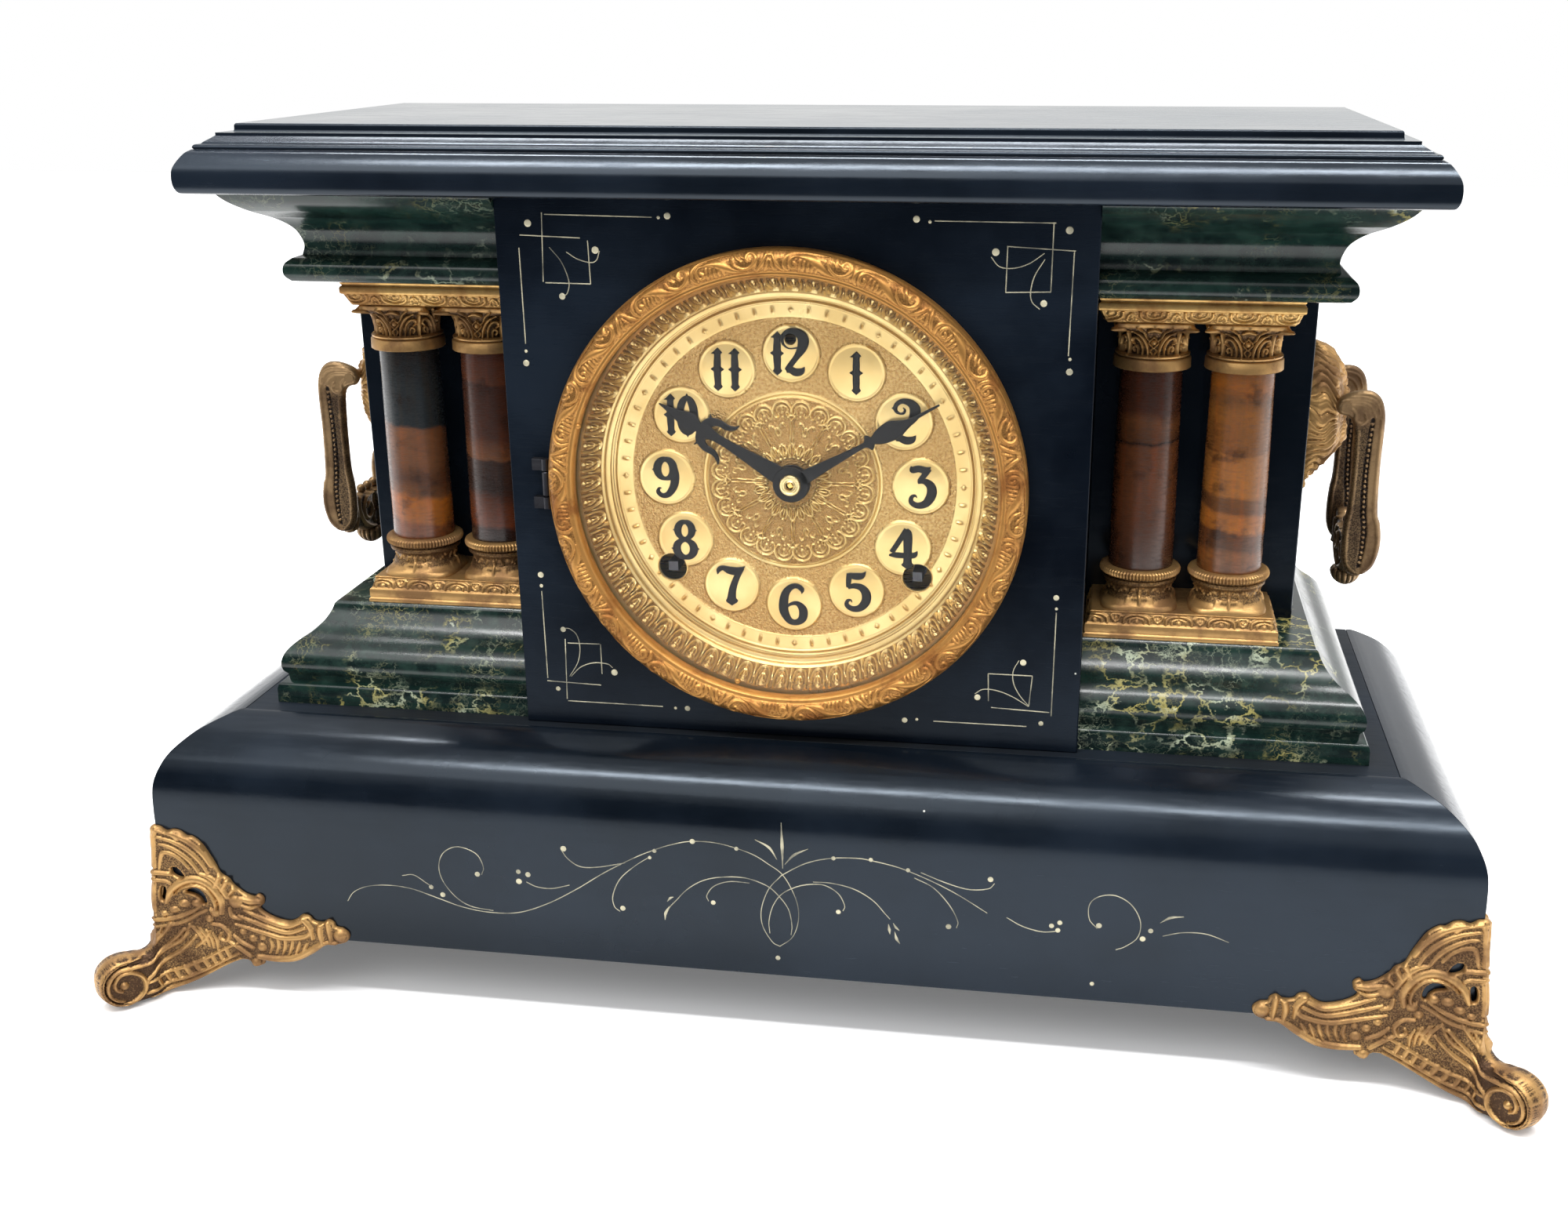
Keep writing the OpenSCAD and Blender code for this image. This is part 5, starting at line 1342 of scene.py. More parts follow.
# %% Plates made
cap_z = np.concatenate([[227.7, 227.75], np.linspace(228.0, 231.5, 17),
                        [231.6, 231.8, 232.3, 233.6, 234.0, 234.2, 234.5, 235.0, 235.9, 236.3, 236.45]])
cap_in = np.interp(cap_z,
                   [227.7, 227.75, 228, 231.5, 231.6, 231.8, 232.3, 233.6, 234, 234.2, 234.5, 235, 235.9,
                    236.3, 236.45], [3.4, 3.0, 2.7, 1.0, .6, .25, .1, .1, .3, .75, .8, .35, .15, .35, .7])
cap_w = step(cap_z, 227.9, 228.3) * step(-cap_z, -231.6, -231.3)
low_z = np.concatenate([[127.05, 127.1, 127.4, 128.2, 128.5, 128.7, 129.2, 131.4, 131.7, 131.9],
                        np.linspace(132.0, 135.2, 15), [135.35, 135.55, 135.75, 135.8]])
low_in = np.interp(low_z,
                   [127.05, 127.1, 127.4, 128.2, 128.5, 128.7, 129.2, 131.4, 131.7, 131.9, 132, 135.2,
                    135.35, 135.55, 135.75, 135.8],
                   [.5, .15, 0, .05, .35, .5, .3, .35, .55, .9, 1.0, 2.2, 1.95, 1.9, 2.1, 2.6])
low_w = step(low_z, 131.9, 132.2) * step(-low_z, -135.3, -135.0)
cap_levels, low_levels = np.column_stack([cap_in, cap_z, cap_w]), np.column_stack([low_in, low_z, low_w])
for side, word in ((-1, "left"), (1, "right")):
    piece(f"cap_plate_{word}", [edge_plate(side, cap_levels, arches(228.3, 231.2, False), .75)], gilt,
          stands_for="cap_plates", sharp=50)
    piece(f"plinth_plate_{word}", [edge_plate(side, low_levels, arches(132.3, 134.9, True), .75)],
          gilt_brown, stands_for="plinth_plates", sharp=50)

# %% [markdown]
# ## Flat castings
# Feet and handles are castings from carved flat patterns. Such a piece is drawn as an
# outline with holes, filled with points and joined into triangles. The front rises from the
# edge like a quarter round and carries the strokes; the back is flat. A placing function
# then bends the flat piece to where it belongs.

# %% Outlines
def equal_steps(line, gap, start=0.0, whole=False):
    """Points on a line at equal distances: about gap apart if whole fits them to a loop's length,
    else gap apart from start on."""
    run = np.concatenate([[0], np.cumsum(np.hypot(*np.diff(line, axis=0).T))])
    at = np.arange(start, run[-1], gap)
    if whole:
        at = np.linspace(0, run[-1], max(8, int(run[-1] / gap)), endpoint=False)
    return np.column_stack([np.interp(at, run, line[:, k]) for k in (0, 1)])


def resampled(points, gap):
    """A closed smooth curve through the points, cut into equal steps of about gap."""
    fine = curve(points, len(points) * 24, True)
    return equal_steps(np.vstack([fine, fine[:1]]), gap, whole=True)


def inside(at, loops):
    """True where a ray to the right crosses the loops an odd number of times."""
    odd = np.zeros(len(at), bool)
    for loop in loops:
        a, b = loop, np.roll(loop, -1, 0)
        span = (a[None, :, 1] > at[:, None, 1]) != (b[None, :, 1] > at[:, None, 1])
        rise = np.where(b[:, 1] == a[:, 1], 1e-9, b[:, 1] - a[:, 1])
        cross = a[:, 0] + (at[:, None, 1] - a[:, 1]) * (b[:, 0] - a[:, 0]) / rise
        odd ^= (span & (at[:, None, 0] < cross)).sum(1) % 2 == 1
    return odd


def nearest(at, loops):
    """Distance from each point to the nearest piece of the loops."""
    best = np.full(len(at), 1e9)
    for loop in loops:
        a, ab = loop, np.roll(loop, -1, 0) - loop
        near = at[:, None] - a[None]
        t = np.clip((near * ab).sum(-1) / (ab ** 2).sum(-1), 0, 1)
        best = np.minimum(best, np.hypot(*np.moveaxis(near - t[..., None] * ab, -1, 0)).min(1))
    return best


# %% Casting from an outline
BACK = -0.05  # the flat back of a casting lies this far behind its edge


def casting(outline, holes, marks, gap, thick, rim, sill=0.0, ground=0.4, cuts=()):
    """Points (n, 3) as (q, z, height), faces and hollow of a flat casting. thick, rim and sill are
    numbers or functions of (q, z): height of the flat, width of the rounding, share of the height
    that stands upright at the edge. ground says how dark the flat between strokes is; cuts are
    strokes that go in. A broad rim carries three fine ribs."""
    loops = [resampled(p, gap) for p in [outline, *holes]]
    low, high = loops[0].min(0), loops[0].max(0)
    gx, gy = np.meshgrid(np.arange(low[0], high[0], gap), np.arange(low[1], high[1], gap * .866))
    gx = gx + (np.arange(gx.shape[0]) % 2)[:, None] * gap / 2
    field = np.column_stack([gx.ravel(), gy.ravel()])
    field = field[inside(field, loops)]
    field = field[nearest(field, loops) > 0.55 * gap]
    edge_count = sum(map(len, loops))
    flat = np.concatenate([*loops, field])
    ties, n = [], 0
    for loop in loops:
        ties += [(n + k, n + (k + 1) % len(loop)) for k in range(len(loop))]
        n += len(loop)
    made = geometry.delaunay_2d_cdt([tuple(p) for p in flat.tolist()], ties, [], 0, 1e-6)
    flat = np.array([tuple(p) for p in made[0]])
    faces = np.array([f for f in made[2] if len(f) == 3])
    faces = faces[inside(flat[faces].mean(1), loops)]
    q, z = flat.T
    value = lambda v: v(q, z) if callable(v) else v
    e = nearest(flat, loops)
    e[:edge_count] = 0
    round_up = np.sqrt(np.clip(1 - np.clip(1 - e / value(rim), 0, 1) ** 2, 0, 1))
    carved = raised(flat, marks)
    relief = carved - raised(flat, cuts) * (carved < .2)
    ribs = (hill((e - .45) / .22) + hill((e - 1.25) / .3) + hill((e - 2.1) / .3)) * (value(rim) > 1.5)
    front = (value(thick) * (value(sill) + (1 - value(sill)) * round_up) + relief * step(e, 0.05, 0.5)
             - 0.12 * value(rim) ** 1.2 * ribs)
    n = len(flat)
    sides = faces[:, [0, 1, 1, 2, 2, 0]].reshape(-1, 2)
    a, b = sides[~np.isin(sides @ (1, n), sides @ (n, 1))].T  # sides that no other triangle runs back along
    walls = np.stack([b, a, a + n, b + n], 1)
    points = np.concatenate([np.column_stack([flat, front]), np.column_stack([flat, np.full(n, BACK)])])
    tone = np.clip(ground - relief, 0, 1) * 1.6 * step(e, 0.1, 0.8) + .7 * ribs * (value(thick) > 2.2)
    faces = faces.tolist() + (faces[:, ::-1] + n).tolist() + walls.tolist()
    return points, faces, np.clip(np.concatenate([tone, tone]), 0, 1)


print("a circle of 1 mm in steps of 0.5 mm:", len(resampled([(1, 0), (0, 1), (-1, 0), (0, -1)], 0.5)),
      "points")

# %% [markdown]
# ## Feet
# Each foot is one casting that wraps the corner of the base: an acanthus leaf up the corner,
# a pierced scroll, a feathered wing along each face and a rolled toe that points outwards on
# the diagonal. One wing with its half of the toe is drawn flat, then bent at the corner; the
# other half is its mirror image in the diagonal.

# %% Foot pattern
def coil(cx, cz, lead, radii, start, stop, width, height, n=44):
    """A stroke that follows the lead points, then winds round (cx, cz) from start to stop degrees."""
    a = np.radians(np.linspace(start, stop, 12))
    r = np.interp(np.linspace(0, 1, 12), np.linspace(0, 1, len(radii)), radii)
    return stroke([*lead, *np.column_stack([cx + r * np.cos(a), cz + r * np.sin(a)])], width, height, n)


# Edge and holes are (distance from the corner along a face, height); the toe has negative distances.
foot_edge = [(-1.5, 61.2), (1.5, 61.6), (4, 60.2), (6.5, 60.8), (9, 60.3), (11, 58.8), (13, 58.6),
             (16, 56.2), (18.5, 52), (20, 49), (21.5, 45.6), (24.2, 43.8), (25.5, 41.8), (28, 39.6),
             (30, 38.4), (32.5, 37.7), (34, 38.8), (35.8, 37.6), (35.6, 35.3), (34.2, 33.7), (36, 31.8),
             (40, 30), (44, 29.4), (47, 30.6), (49, 32.2), (51.5, 31.8), (53, 30.2), (56, 29.9), (58, 31.1),
             (60, 30.1), (60.6, 28.6), (63, 28.1), (65, 26), (64, 23.4), (61, 22.2), (57, 21.8), (52, 18.1),
             (46, 14.6), (40, 13.6), (34.2, 13.8), (33.2, 12.2), (31.3, 11.4), (29.3, 11.6), (28, 13.2),
             (25, 13.2), (20, 10.8), (14, 7.2), (8, 3.6), (2, 1), (-4, .2), (-10, .1), (-15, .1),
             (-19, 1.7), (-22, 5.2), (-22.9, 9.6), (-21.8, 13.9), (-18.6, 16.9), (-14.2, 17.9),
             (-9.6, 17.5), (-6, 17.4), (-3.4, 18.8), (-2.1, 21.4), (-1.6, 25), (-1.5, 30), (-1.5, 36),
             (-1.5, 42), (-2.1, 43.5), (-1.5, 46), (-1.4, 52), (-1.5, 57)]
foot_holes = [[(5.0, 46.6), (6.6, 47.0), (8.4, 45.2), (9.0, 43.6), (7.6, 43.4), (5.6, 44.6)],
              [(9.2, 38.2), (11, 39.4), (13.2, 39.1), (14.8, 37.2), (15.3, 34.6), (14.2, 33.6),
               (13.4, 35.6), (11.6, 37.2)],
              [(1.9, 39.8), (3.1, 39.6), (3.3, 37.4), (2.9, 34.9), (1.8, 35.2), (1.4, 37.4)]]
foot_marks = [stroke([(.5, 60.4), (6, 59.4), (11.5, 57.3), (16, 53.4), (19, 48.6)], (.5, .9, 1, .7), .8,
                     26),
              stroke([(1, 58), (7, 56.4), (12, 53.4), (15.5, 49.6), (17.3, 46)], (.5, .8, .9, .5), .75, 24),
              stroke([(1.4, 55.4), (5, 54.6), (9.5, 52), (12.5, 48.9), (14.3, 45.6)], (.4, .7, .8, .5), .7,
                     22),
              stroke([(1.2, 46.6), (1.5, 50), (2.6, 52.4), (6, 52), (9, 49.9), (11, 47.2)],
                     (.4, .7, .6, .4), .65, 22),
              stroke([(15, 58), (17.2, 54.6), (19.6, 50.6)], (.5, .8, .5), .9, 12),
              stroke([(5, 60.4), (8, 57.6)], .6, .7), stroke([(10.4, 59.3), (12.5, 56)], .6, .7),
              stroke([(-1.5, 45), (5, 44.9)], (.8, .7), .9),
              stroke([(-1.5, 42.4), (3.4, 42.2), (5, 41.4)], (.7, .5), .7, 8),
              stroke([(-.6, 47), (-.9, 52), (-.6, 57), (.4, 60)], (.7, .9, .6), .7, 14),
              stroke([(-.4, 41), (-.7, 36), (-.3, 31)], (.6, .8, .5), .6, 12),
              stroke([(3.9, 34.6), (5.0, 38.4), (8, 41.6), (12, 43), (16, 42.1), (19.3, 39), (20.9, 35),
                      (20.4, 31.2)], (.6, 1.3, 1.4, 1.3, .8), 1.1, 34),
              stroke([(6.4, 37.6), (9, 40.1), (12.4, 41.1), (15.6, 40.1), (18, 37.2), (18.9, 33.8),
                      (17.9, 31.6), (16.9, 32.6)], (.3, .6, .6, .4), 1.5, 30),
              stroke([(14.8, 45.4), (18, 44.2), (21, 41.2), (23.2, 37.4)], (.6, 1.1, .9), .95, 16),
              stroke([(21.6, 45), (19.4, 41.2)], (.9, .6), 1.1),
              stroke([(24, 43.4), (21.6, 39.8)], (.9, .6), 1.1),
              stroke([(26.4, 41), (24.2, 38.4)], (.8, .5), 1.0), dot(12.2, 34.2, 1.2, 1.2),
              dot(8.9, 34.1, 1.3, 1.3), dot(6, 31.9, 1.15, 1.2), dot(3, 30.4, 1.0, 1.1),
              stroke([(13.2, 33), (10, 30.6), (6, 28.9), (1, 27.9), (-1.5, 27.9)], (.4, .7, .8, .6), .95,
                     20),
              stroke([(-1.2, 25.2), (3, 25.9), (8, 27.2), (12, 30), (15, 31.6)], (.4, .7, .5), .7, 18),
              dot(18, 31, 1.5, 1.1), dot(15.8, 28.4, 1.2, 1.1), dot(26, 35.8, 2.1, 1.3),
              stroke([(23.6, 33), (24.2, 30.4), (27, 29.4)], (.5, .8, .5), 1.0, 12),
              stroke([(27.6, 37.4), (31, 36.4), (34.6, 36.6)], (.6, 1.2, .8), 1.1, 12),
              stroke([(28, 34.6), (31, 33.8), (33.6, 34.6)], (.5, .7, .4), .9, 10),
              stroke([(29, 33), (34, 30.6), (39, 28.8), (44, 27.9), (48.6, 29.8)], (.5, .9, .9, .6), .95,
                     24),
              stroke([(26.6, 30.6), (32, 28.6), (38, 26.6), (44, 25.6), (50, 27.8)], (.4, .9, .9, .6), .9,
                     24),
              stroke([(25, 27.4), (30, 26), (36, 24.4), (42, 23.2), (50, 24.6), (52.4, 28)],
                     (.4, .8, .9, .6), .85, 26),
              stroke([(49.6, 31), (51.6, 28.4), (52.4, 24)], (1.0, .9, .5), 1.15, 12),
              stroke([(55.6, 29.6), (55, 26.4), (55.6, 22.6)], (.9, .9, .7), 1.1, 10),
              stroke([(58.2, 30.4), (58.4, 27), (58.8, 23)], (.8, .8, .6), 1.0, 10),
              dot(62, 25.6, 1.9, 1.2),
              stroke([(60.4, 22.9), (56, 22.2), (51, 19.2), (45, 16), (38, 15), (32, 15.4)],
                     (.6, 1.1, 1.2, .9), 1.1, 28), dot(30.8, 12.9, 1.5, 1.1),
              stroke([(22, 20.4), (25.6, 18), (29, 15.4)], (.5, .9, .6), 1, 10),
              stroke([(24, 23), (26.6, 20.4), (30.4, 18.6)], (.4, .8, .5), 1, 10),
              dot(33.6, 19.2, 1.5, 1.1), dot(30.6, 22.2, 1.2, 1.0), dot(27.4, 24.6, 1.1, 1.0),
              dot(34.2, 22.8, .9, .9),
              stroke([(16.6, 26.6), (20, 26.2), (22.4, 23.4), (21, 20.6), (18.8, 21.6), (19.4, 23.4)],
                     (.4, .7, .6, .4), 1.05, 20)]
foot_marks += [stroke([(37 + 2.6 * k, 22.4 - .1 * k), (37.4 + 2.3 * k, 20), (36.2 + 2.3 * k, 17.2)],
                      (.4, .65, .3), .8, 8) for k in range(6)]
foot_marks += [stroke([(9.5 + 2.3 * k, 26.4 - 1.1 * k), (12 + 1.8 * k, 22.6 - .7 * k),
                       (13 + 1.5 * k, 18.4 - .5 * k)], (.3, .7, .3), .85, 10) for k in range(4)]
foot_marks += [coil(-10.7, 8.4, [(4.8, 27), (2.2, 22.8), (-1.2, 19.2), (-5.2, 16.6)],
                    [7.3, 7.2, 7.0, 6.4, 5.0, 4.0, 3.0, 2.0], 104, 600, (.6, .85, .8, .7, .5), 1.2, 96),
               coil(-10.7, 8.4, [(8, 24.6), (4.8, 20.2), (1, 16.6), (-3.6, 13.9)], [5.4, 5.1, 5.2, 5.2], 88,
                    262, (.5, .7, .6, .3), 1.0, 60),
               stroke([(11, 22), (7.6, 17.6), (3.4, 13.8), (-1, 11), (-4.6, 8), (-5.4, 5)],
                      (.4, .75, .7, .4), 1.0, 26), dot(-10.7, 8.4, 1.3, 1.4),
               stroke([(25, 20), (18.6, 16.6), (12, 12.6), (6, 9.6), (0, 7.8), (-4.4, 7.2)],
                      (.4, .6, .6, .4), 1.0, 30),
               stroke([(25, 16), (18.4, 12.4), (12, 8.6), (6, 5.6), (0, 4), (-5, 3.6)], (.4, .6, .6, .4),
                      1.0, 30),
               stroke([(25, 14), (19, 10.8), (13, 7.2), (7, 3.9), (1.4, 2), (-4, 1.2)], (.4, .9, .8, .4),
                      .7, 30),
               stroke([(9.4, 25.4), (7.6, 21.4), (3.4, 17.4), (-1.4, 14.6)], (.3, .7, .5), .9, 16),
               stroke([(15.6, 24), (13.4, 20.4), (10.4, 17.4)], (.3, .7, .3), .9, 12),
               stroke([(1.6, 25.4), (.6, 22.6), (-1.6, 20.4), (-5, 18.6), (-9.4, 17.9)], (.3, .6, .6, .3),
                      .8, 18)]
for k in range(9):
    fx = 21.5 - 2.7 * k
    fz = np.interp(fx, [-4, 0, 6, 12, 18.4, 25], [3.6, 4, 5.6, 8.6, 12.4, 16])
    foot_marks.append(stroke([(fx, fz + .3), (fx - .7, fz + 1.9), (fx - 1.3, fz + 3.7)], (.6, .75, .5), .85,
                             8))

for m in foot_marks:  # broader than drawn, and drawn out along the toe, towards its tip
    m[:, 2] *= 1.16
    tip = np.clip((6 - m[:, 0]) / 16, 0, 1) * step(-m[:, 1], -26, -20)
    m[:, 0] -= 4.0 * tip
    m[:, 1] *= 1 + .08 * tip
print(len(foot_marks), "strokes on one wing of a foot")

# %% Feet
toe = lambda q, z: step(-q, -3.0, 6.0) * step(-z, -25.0, -17.0)
foot_points, foot_faces, foot_hollow = casting(
    foot_edge, foot_holes, foot_marks, 0.38, lambda q, z: 1.5 + 3.3 * toe(q, z),
    lambda q, z: 0.7 + 2.2 * toe(q, z), lambda q, z: 0.4 * (1 - toe(q, z)), ground=0.42)
foot_hollow = np.clip(foot_hollow + .16 * toe(foot_points[:, 0], foot_points[:, 1]), 0, 1)
BEND = 12                          # radius of the bend at the corner
BEND_FROM, BEND_TO = 4.97, -4.455  # where it starts and ends, as distances from the corner


def bent(points):
    """Flat (q, z, height) to (out along x, out along y, z) from the corner. Above z 28 the piece
    lies on the face; below z 20 it leaves the face in an arc of radius BEND and runs out on the
    diagonal. Near the corner it leans out downwards."""
    q, z, h = points.T
    turn = np.clip((BEND_FROM - q) / BEND, 0, np.pi / 4)
    over = np.maximum(BEND_TO - q, 0) * math.sqrt(.5)
    c = np.where(q > BEND_FROM, q, BEND_FROM - BEND * np.sin(turn) - over)
    d = np.where(q > BEND_FROM, 0, BEND - BEND * np.cos(turn) + over)
    share = step(-z, -28, -20)
    c, d = q + share * (c - q), share * d
    turn = turn * share
    lean = 2.15 * step(-z, -58, -27) * (1 - step(q, 2, 15))
    return lean - (c + h * np.sin(turn)), lean + d + h * np.cos(turn), np.maximum(z, 0.02)


out_x, out_y, up_z = bent(foot_points)
for sx, sy, word in ((-1, -1, "front_left"), (1, -1, "front_right"), (-1, 1, "back_left"),
                     (1, 1, "back_right")):
    halves = [(np.stack([sx * (XB + a), sy * (YB + b), up_z], -1), foot_faces, foot_hollow)
              for a, b in ((out_x, out_y), (out_y, out_x))]
    piece(f"foot_casting_{word}", halves, gilt_brown, stands_for=f"foot_{word}", sharp=70)

# %% [markdown]
# ## Masks
# On each side a lion's head, cast and gilt, carries the handle. It is a surface round an axis
# that stands out from the side: the radius shrinks from the mane's edge to the nose. Locks
# are ridges that run from the face back to the board, in two layers; the features of the
# face are bumps in (y, z).

# %% Lion mask
def lion():
    """Points (rows, columns, 3) as (out from the side, y, z), and hollow. a runs round the head
    and t from its edge to the nose; reach is the outline, a superellipse, and g and k say how far
    in and how far out the surface has come at t."""
    cols, rows = 420, 118
    a = np.linspace(0, 2 * np.pi, cols, endpoint=False)[None]
    t = np.linspace(0, 1, rows)[:, None]
    power = np.where(np.cos(a) > 0, 2.2, 1.75)
    tall = np.where(np.cos(a) > 0, 23.5, 30.0)
    reach = ((np.abs(np.sin(a)) / 21.5) ** power + (np.abs(np.cos(a)) / tall) ** power) ** (-1 / power)
    keys = [0, .1, .2, .32, .46, .62, .8, 1]
    g = np.interp(t, keys, [1, 1, .965, .89, .74, .5, .25, 0])
    k = np.interp(t, keys, [0, .3, .5, .7, .86, .95, .99, 1])
    y, z = reach * g * np.sin(a), MASK_Z + reach * g * np.cos(a)
    face = hill(np.clip(np.hypot(y / 12.5, (z - 187.5) / 16), 0, 1) ** 2.2)
    wave = 0.09 * np.sin(9 * t + 3 * np.sin(2 * a)) + 0.05 * np.sin(21 * t + 5 * a)
    lock_back = np.abs(np.sin(21 * (a + wave)))
    lock_front = np.abs(np.sin(15 * (a - 1.4 * wave) + .8))
    layer = step(t, .36, .44)
    lock = (1 - layer) * lock_back + layer * (0.15 + lock_front)
    fine = np.abs(np.sin(63 * (a + wave)))
    lock = (lock ** .7 * .8 + .2 * fine) * (1 - face)
    out = (14.5 * k * (1 - 0.75 * step(-z, -182, -165))
           + 1.1 * lock * k ** .5 * (1 - .6 * layer * (1 - step(t, .44, .6))))
    grow = 1 + 0.045 * (1 - layer) * (lock - .5) * step(t, 0, .06)
    flat = np.stack([np.broadcast_to(y, lock.shape), np.broadcast_to(z, lock.shape)], -1)
    ay = np.abs(y)
    bump = lambda cy, cz, ry, rz: hill(np.hypot((ay - cy) / ry, (z - cz) / rz))
    marks = mirrored_too([stroke([(1.6, 194), (4, 196.6), (8, 197.4), (11, 194.8)], (1.2, 1.7, 1.4, .6),
                                 1.7, 18),
                          stroke([(2.6, 190.8), (5.4, 193.2), (8.6, 191.4)], (.4, .6, .3), 1.0, 12),
                          stroke([(3, 190.4), (5.6, 189.2), (8.4, 190.9)], (.3, .6, .3), .8, 12),
                          stroke([(1.8, 183.6), (4.4, 181.4), (7.4, 179.4), (8.6, 176.4)], (.5, .8, .5), .9,
                                 14),
                          stroke([(9.4, 190), (10.4, 186), (9.6, 182), (8, 178)], (.5, 1.0, .8), 1.2, 14),
                          stroke([(1.6, 199.4), (2.4, 203), (5, 206.4)], (.8, 1.3, .7), 1.3, 12),
                          stroke([(5, 199), (7.4, 201.6), (10.6, 203.4)], (.7, 1.2, .6), 1.2, 12),
                          stroke([(1, 172), (2.4, 168.6), (1.2, 164), (2, 160.5)], (.8, 1.3, 1.0, .4), 1.4,
                                 16),
                          stroke([(4.6, 173.6), (6.4, 170), (5, 166), (5.6, 163)], (.8, 1.2, .9, .4), 1.3,
                                 16),
                          coil(12.6, 171.4, [(10.4, 179.6), (13.8, 176.6)], [3.4, 2.8, 1.6, .8], 40, -420,
                               (.7, 1.0, .8, .4), 1.3, 50)])
    carved = raised(flat, marks).reshape(lock.shape) * step(t, .12, .3)
    mouth = lambda wide: hill((z - 176.9 - .06 * ay) / wide) * hill(ay / 7.5)
    ball = bump(5.6, 191.2, 1.9, 1.6)
    out = out + carved - 1.6 * mouth(1.1) + 1.5 * ball
    for height, *where in (  # muzzle, lips, nose, bridge, nostrils, eye sockets, chin
            (3.1, 0, 180.4, 8, 6.4), (1.0, 3, 179.6, 3, 2.6), (1.3, 0, 184.2, 3.0, 2.4),
            (1.3, 0, 189.5, 2.6, 8), (-1.0, 1.3, 183, .7, .6), (-1.8, 5.6, 191.3, 3.6, 2.5),
            (1.4, 0, 173.4, 3.6, 2.4)):
        out = out + height * bump(*where)
    out = np.minimum(out, 17.7)
    hollow = (np.clip((.5 - lock) * 1.3 * (1 - face) - carved * .9, 0, 1)
              + .8 * bump(5.6, 191.3, 3.6, 2.4) * (1 - ball) + mouth(1.0))
    return np.stack([out, MASK_Y + y * grow, z + (z - MASK_Z) * (grow - 1)], -1), np.clip(hollow, 0, 1)


lion_points, lion_hollow = lion()
both = [((lion_points + (XW - .05, 0, 0)) * (side, 1, 1), capped(*lion_hollow.shape), lion_hollow)
        for side in (-1, 1)]
piece("lion_masks", both, gilt_brown, stands_for="masks", sharp=75)

# %% [markdown]
# ## Handles
# A bail handle hangs from each mask: two flat legs with a beaded groove, joined below by a
# pierced bar with scrolls, three small balls and a fluted drop. It is bronzed darker than
# the gilt mounts.

# %% Bail handles
leg_edge = [(-3.1, .6), (-2.9, -1.2), (-1.6, -2.7), (.4, -3.2), (2.0, -4.4), (3.0, -8), (3.5, -20),
            (3.5, -33), (2.8, -39), (2.5, -46), (3.0, -52), (4.8, -56), (7.5, -57.4), (10.6, -57),
            (13.4, -54.4), (14.9, -50), (15.3, -45), (14.6, -39.5), (13.4, -35), (12.8, -20), (12.9, -8),
            (12.6, -2), (11.2, 2.4), (8.6, 4.9), (5, 5.5), (1, 4.6), (-1.8, 3)]
leg_marks = [stroke([(-2, 2.4), (2, 3.2), (6.4, 3.1), (9.4, 1.6), (10.8, -2)], (.5, .6, .5, .3), .45, 18),
             stroke([(-2, .9), (2, 1.5), (5.6, 1.3), (8, -.2), (9.4, -3)], (.4, .5, .5, .3), .45, 16),
             stroke([(-2, -.7), (1.4, -.5), (3, -2), (3.2, -4.4), (5, -5.4), (6.6, -4), (6, -2)],
                    (.4, .6, .6, .4), .55, 20),
             stroke([(4.6, -8), (4.8, -20), (4.6, -34), (4.0, -40), (4.0, -47), (4.8, -53), (7.4, -56)],
                    (.5, .6, .6, .4), .4, 40),
             stroke([(11.4, -4), (11.4, -20), (11.8, -34), (13.2, -40), (13.9, -46), (12.8, -52.4),
                     (10, -56)], (.5, .6, .7, .4), .4, 40)]
bead_line = curve([(8.6, -5), (8.0, -20), (8.4, -34), (9.2, -41), (9.2, -48), (8.6, -54)], 300)
leg_marks += [dot(x, z, .62, .55) for x, z in equal_steps(bead_line, 1.75, 0.4)]
bead_groove = [stroke([(8.7, -4), (8.1, -20), (8.5, -34), (9.3, -41), (9.3, -48), (8.7, -54)],
                      (.8, 1.2, 1.2, .7), .6, 40)]
leg_points, leg_faces, leg_hollow = casting(leg_edge, [], leg_marks, 0.4, 1.95, 1.3, ground=0.12,
                                            cuts=bead_groove)
leg_hollow = leg_hollow + .42 * step(-leg_points[:, 0], -9.2, -7.4) * step(-leg_points[:, 1], 3, 8)
leg = (leg_points, leg_faces, np.clip(leg_hollow, 0, 1))
print(len(leg_points), "points in one face of a leg")

# %% Bar and bulb
bar_edge = [(-19.6, -45.4), (-15, -44.6), (-11.4, -46.6), (-8, -46.4), (-4, -47.4), (0, -46.9), (4, -47.4),
            (8, -46.4), (11.4, -46.6), (15, -44.6), (19.6, -45.4), (19.9, -52), (19.6, -58.6), (14, -58.4),
            (9, -60.6), (4.6, -62), (0, -62.4), (-4.6, -62), (-9, -60.6), (-14, -58.4), (-19.6, -58.6),
            (-19.9, -52)]
bar_marks = mirrored_too([coil(6.4, -52.6, [(.9, -47.9), (4, -47.9), (7.6, -48.3)], [4.2, 3.8, 2.6, 1.3],
                               60, -330, (.5, .9, .8, .4), 1.0, 46),
                          stroke([(1.6, -60.8), (6, -59.6), (10.6, -57), (13.4, -53), (14, -48.4),
                                  (12.4, -46.8)], (.6, 1.0, .9, .5), 1.0, 26),
                          stroke([(19, -47), (16.6, -50), (16.2, -54), (18.4, -57.4)], (.6, 1, .6), .9, 14),
                          stroke([(1.8, -54.6), (2.8, -57.4), (.8, -59.6)], (.4, .7, .4), .8, 10)])
bar_hole = [(-.2, -49.4), (.9, -51), (.7, -53.4), (-.2, -54.6), (-.9, -53.2), (-.9, -51)]
bar = casting(bar_edge, [bar_hole], bar_marks, 0.45, 2.5, 1.5)
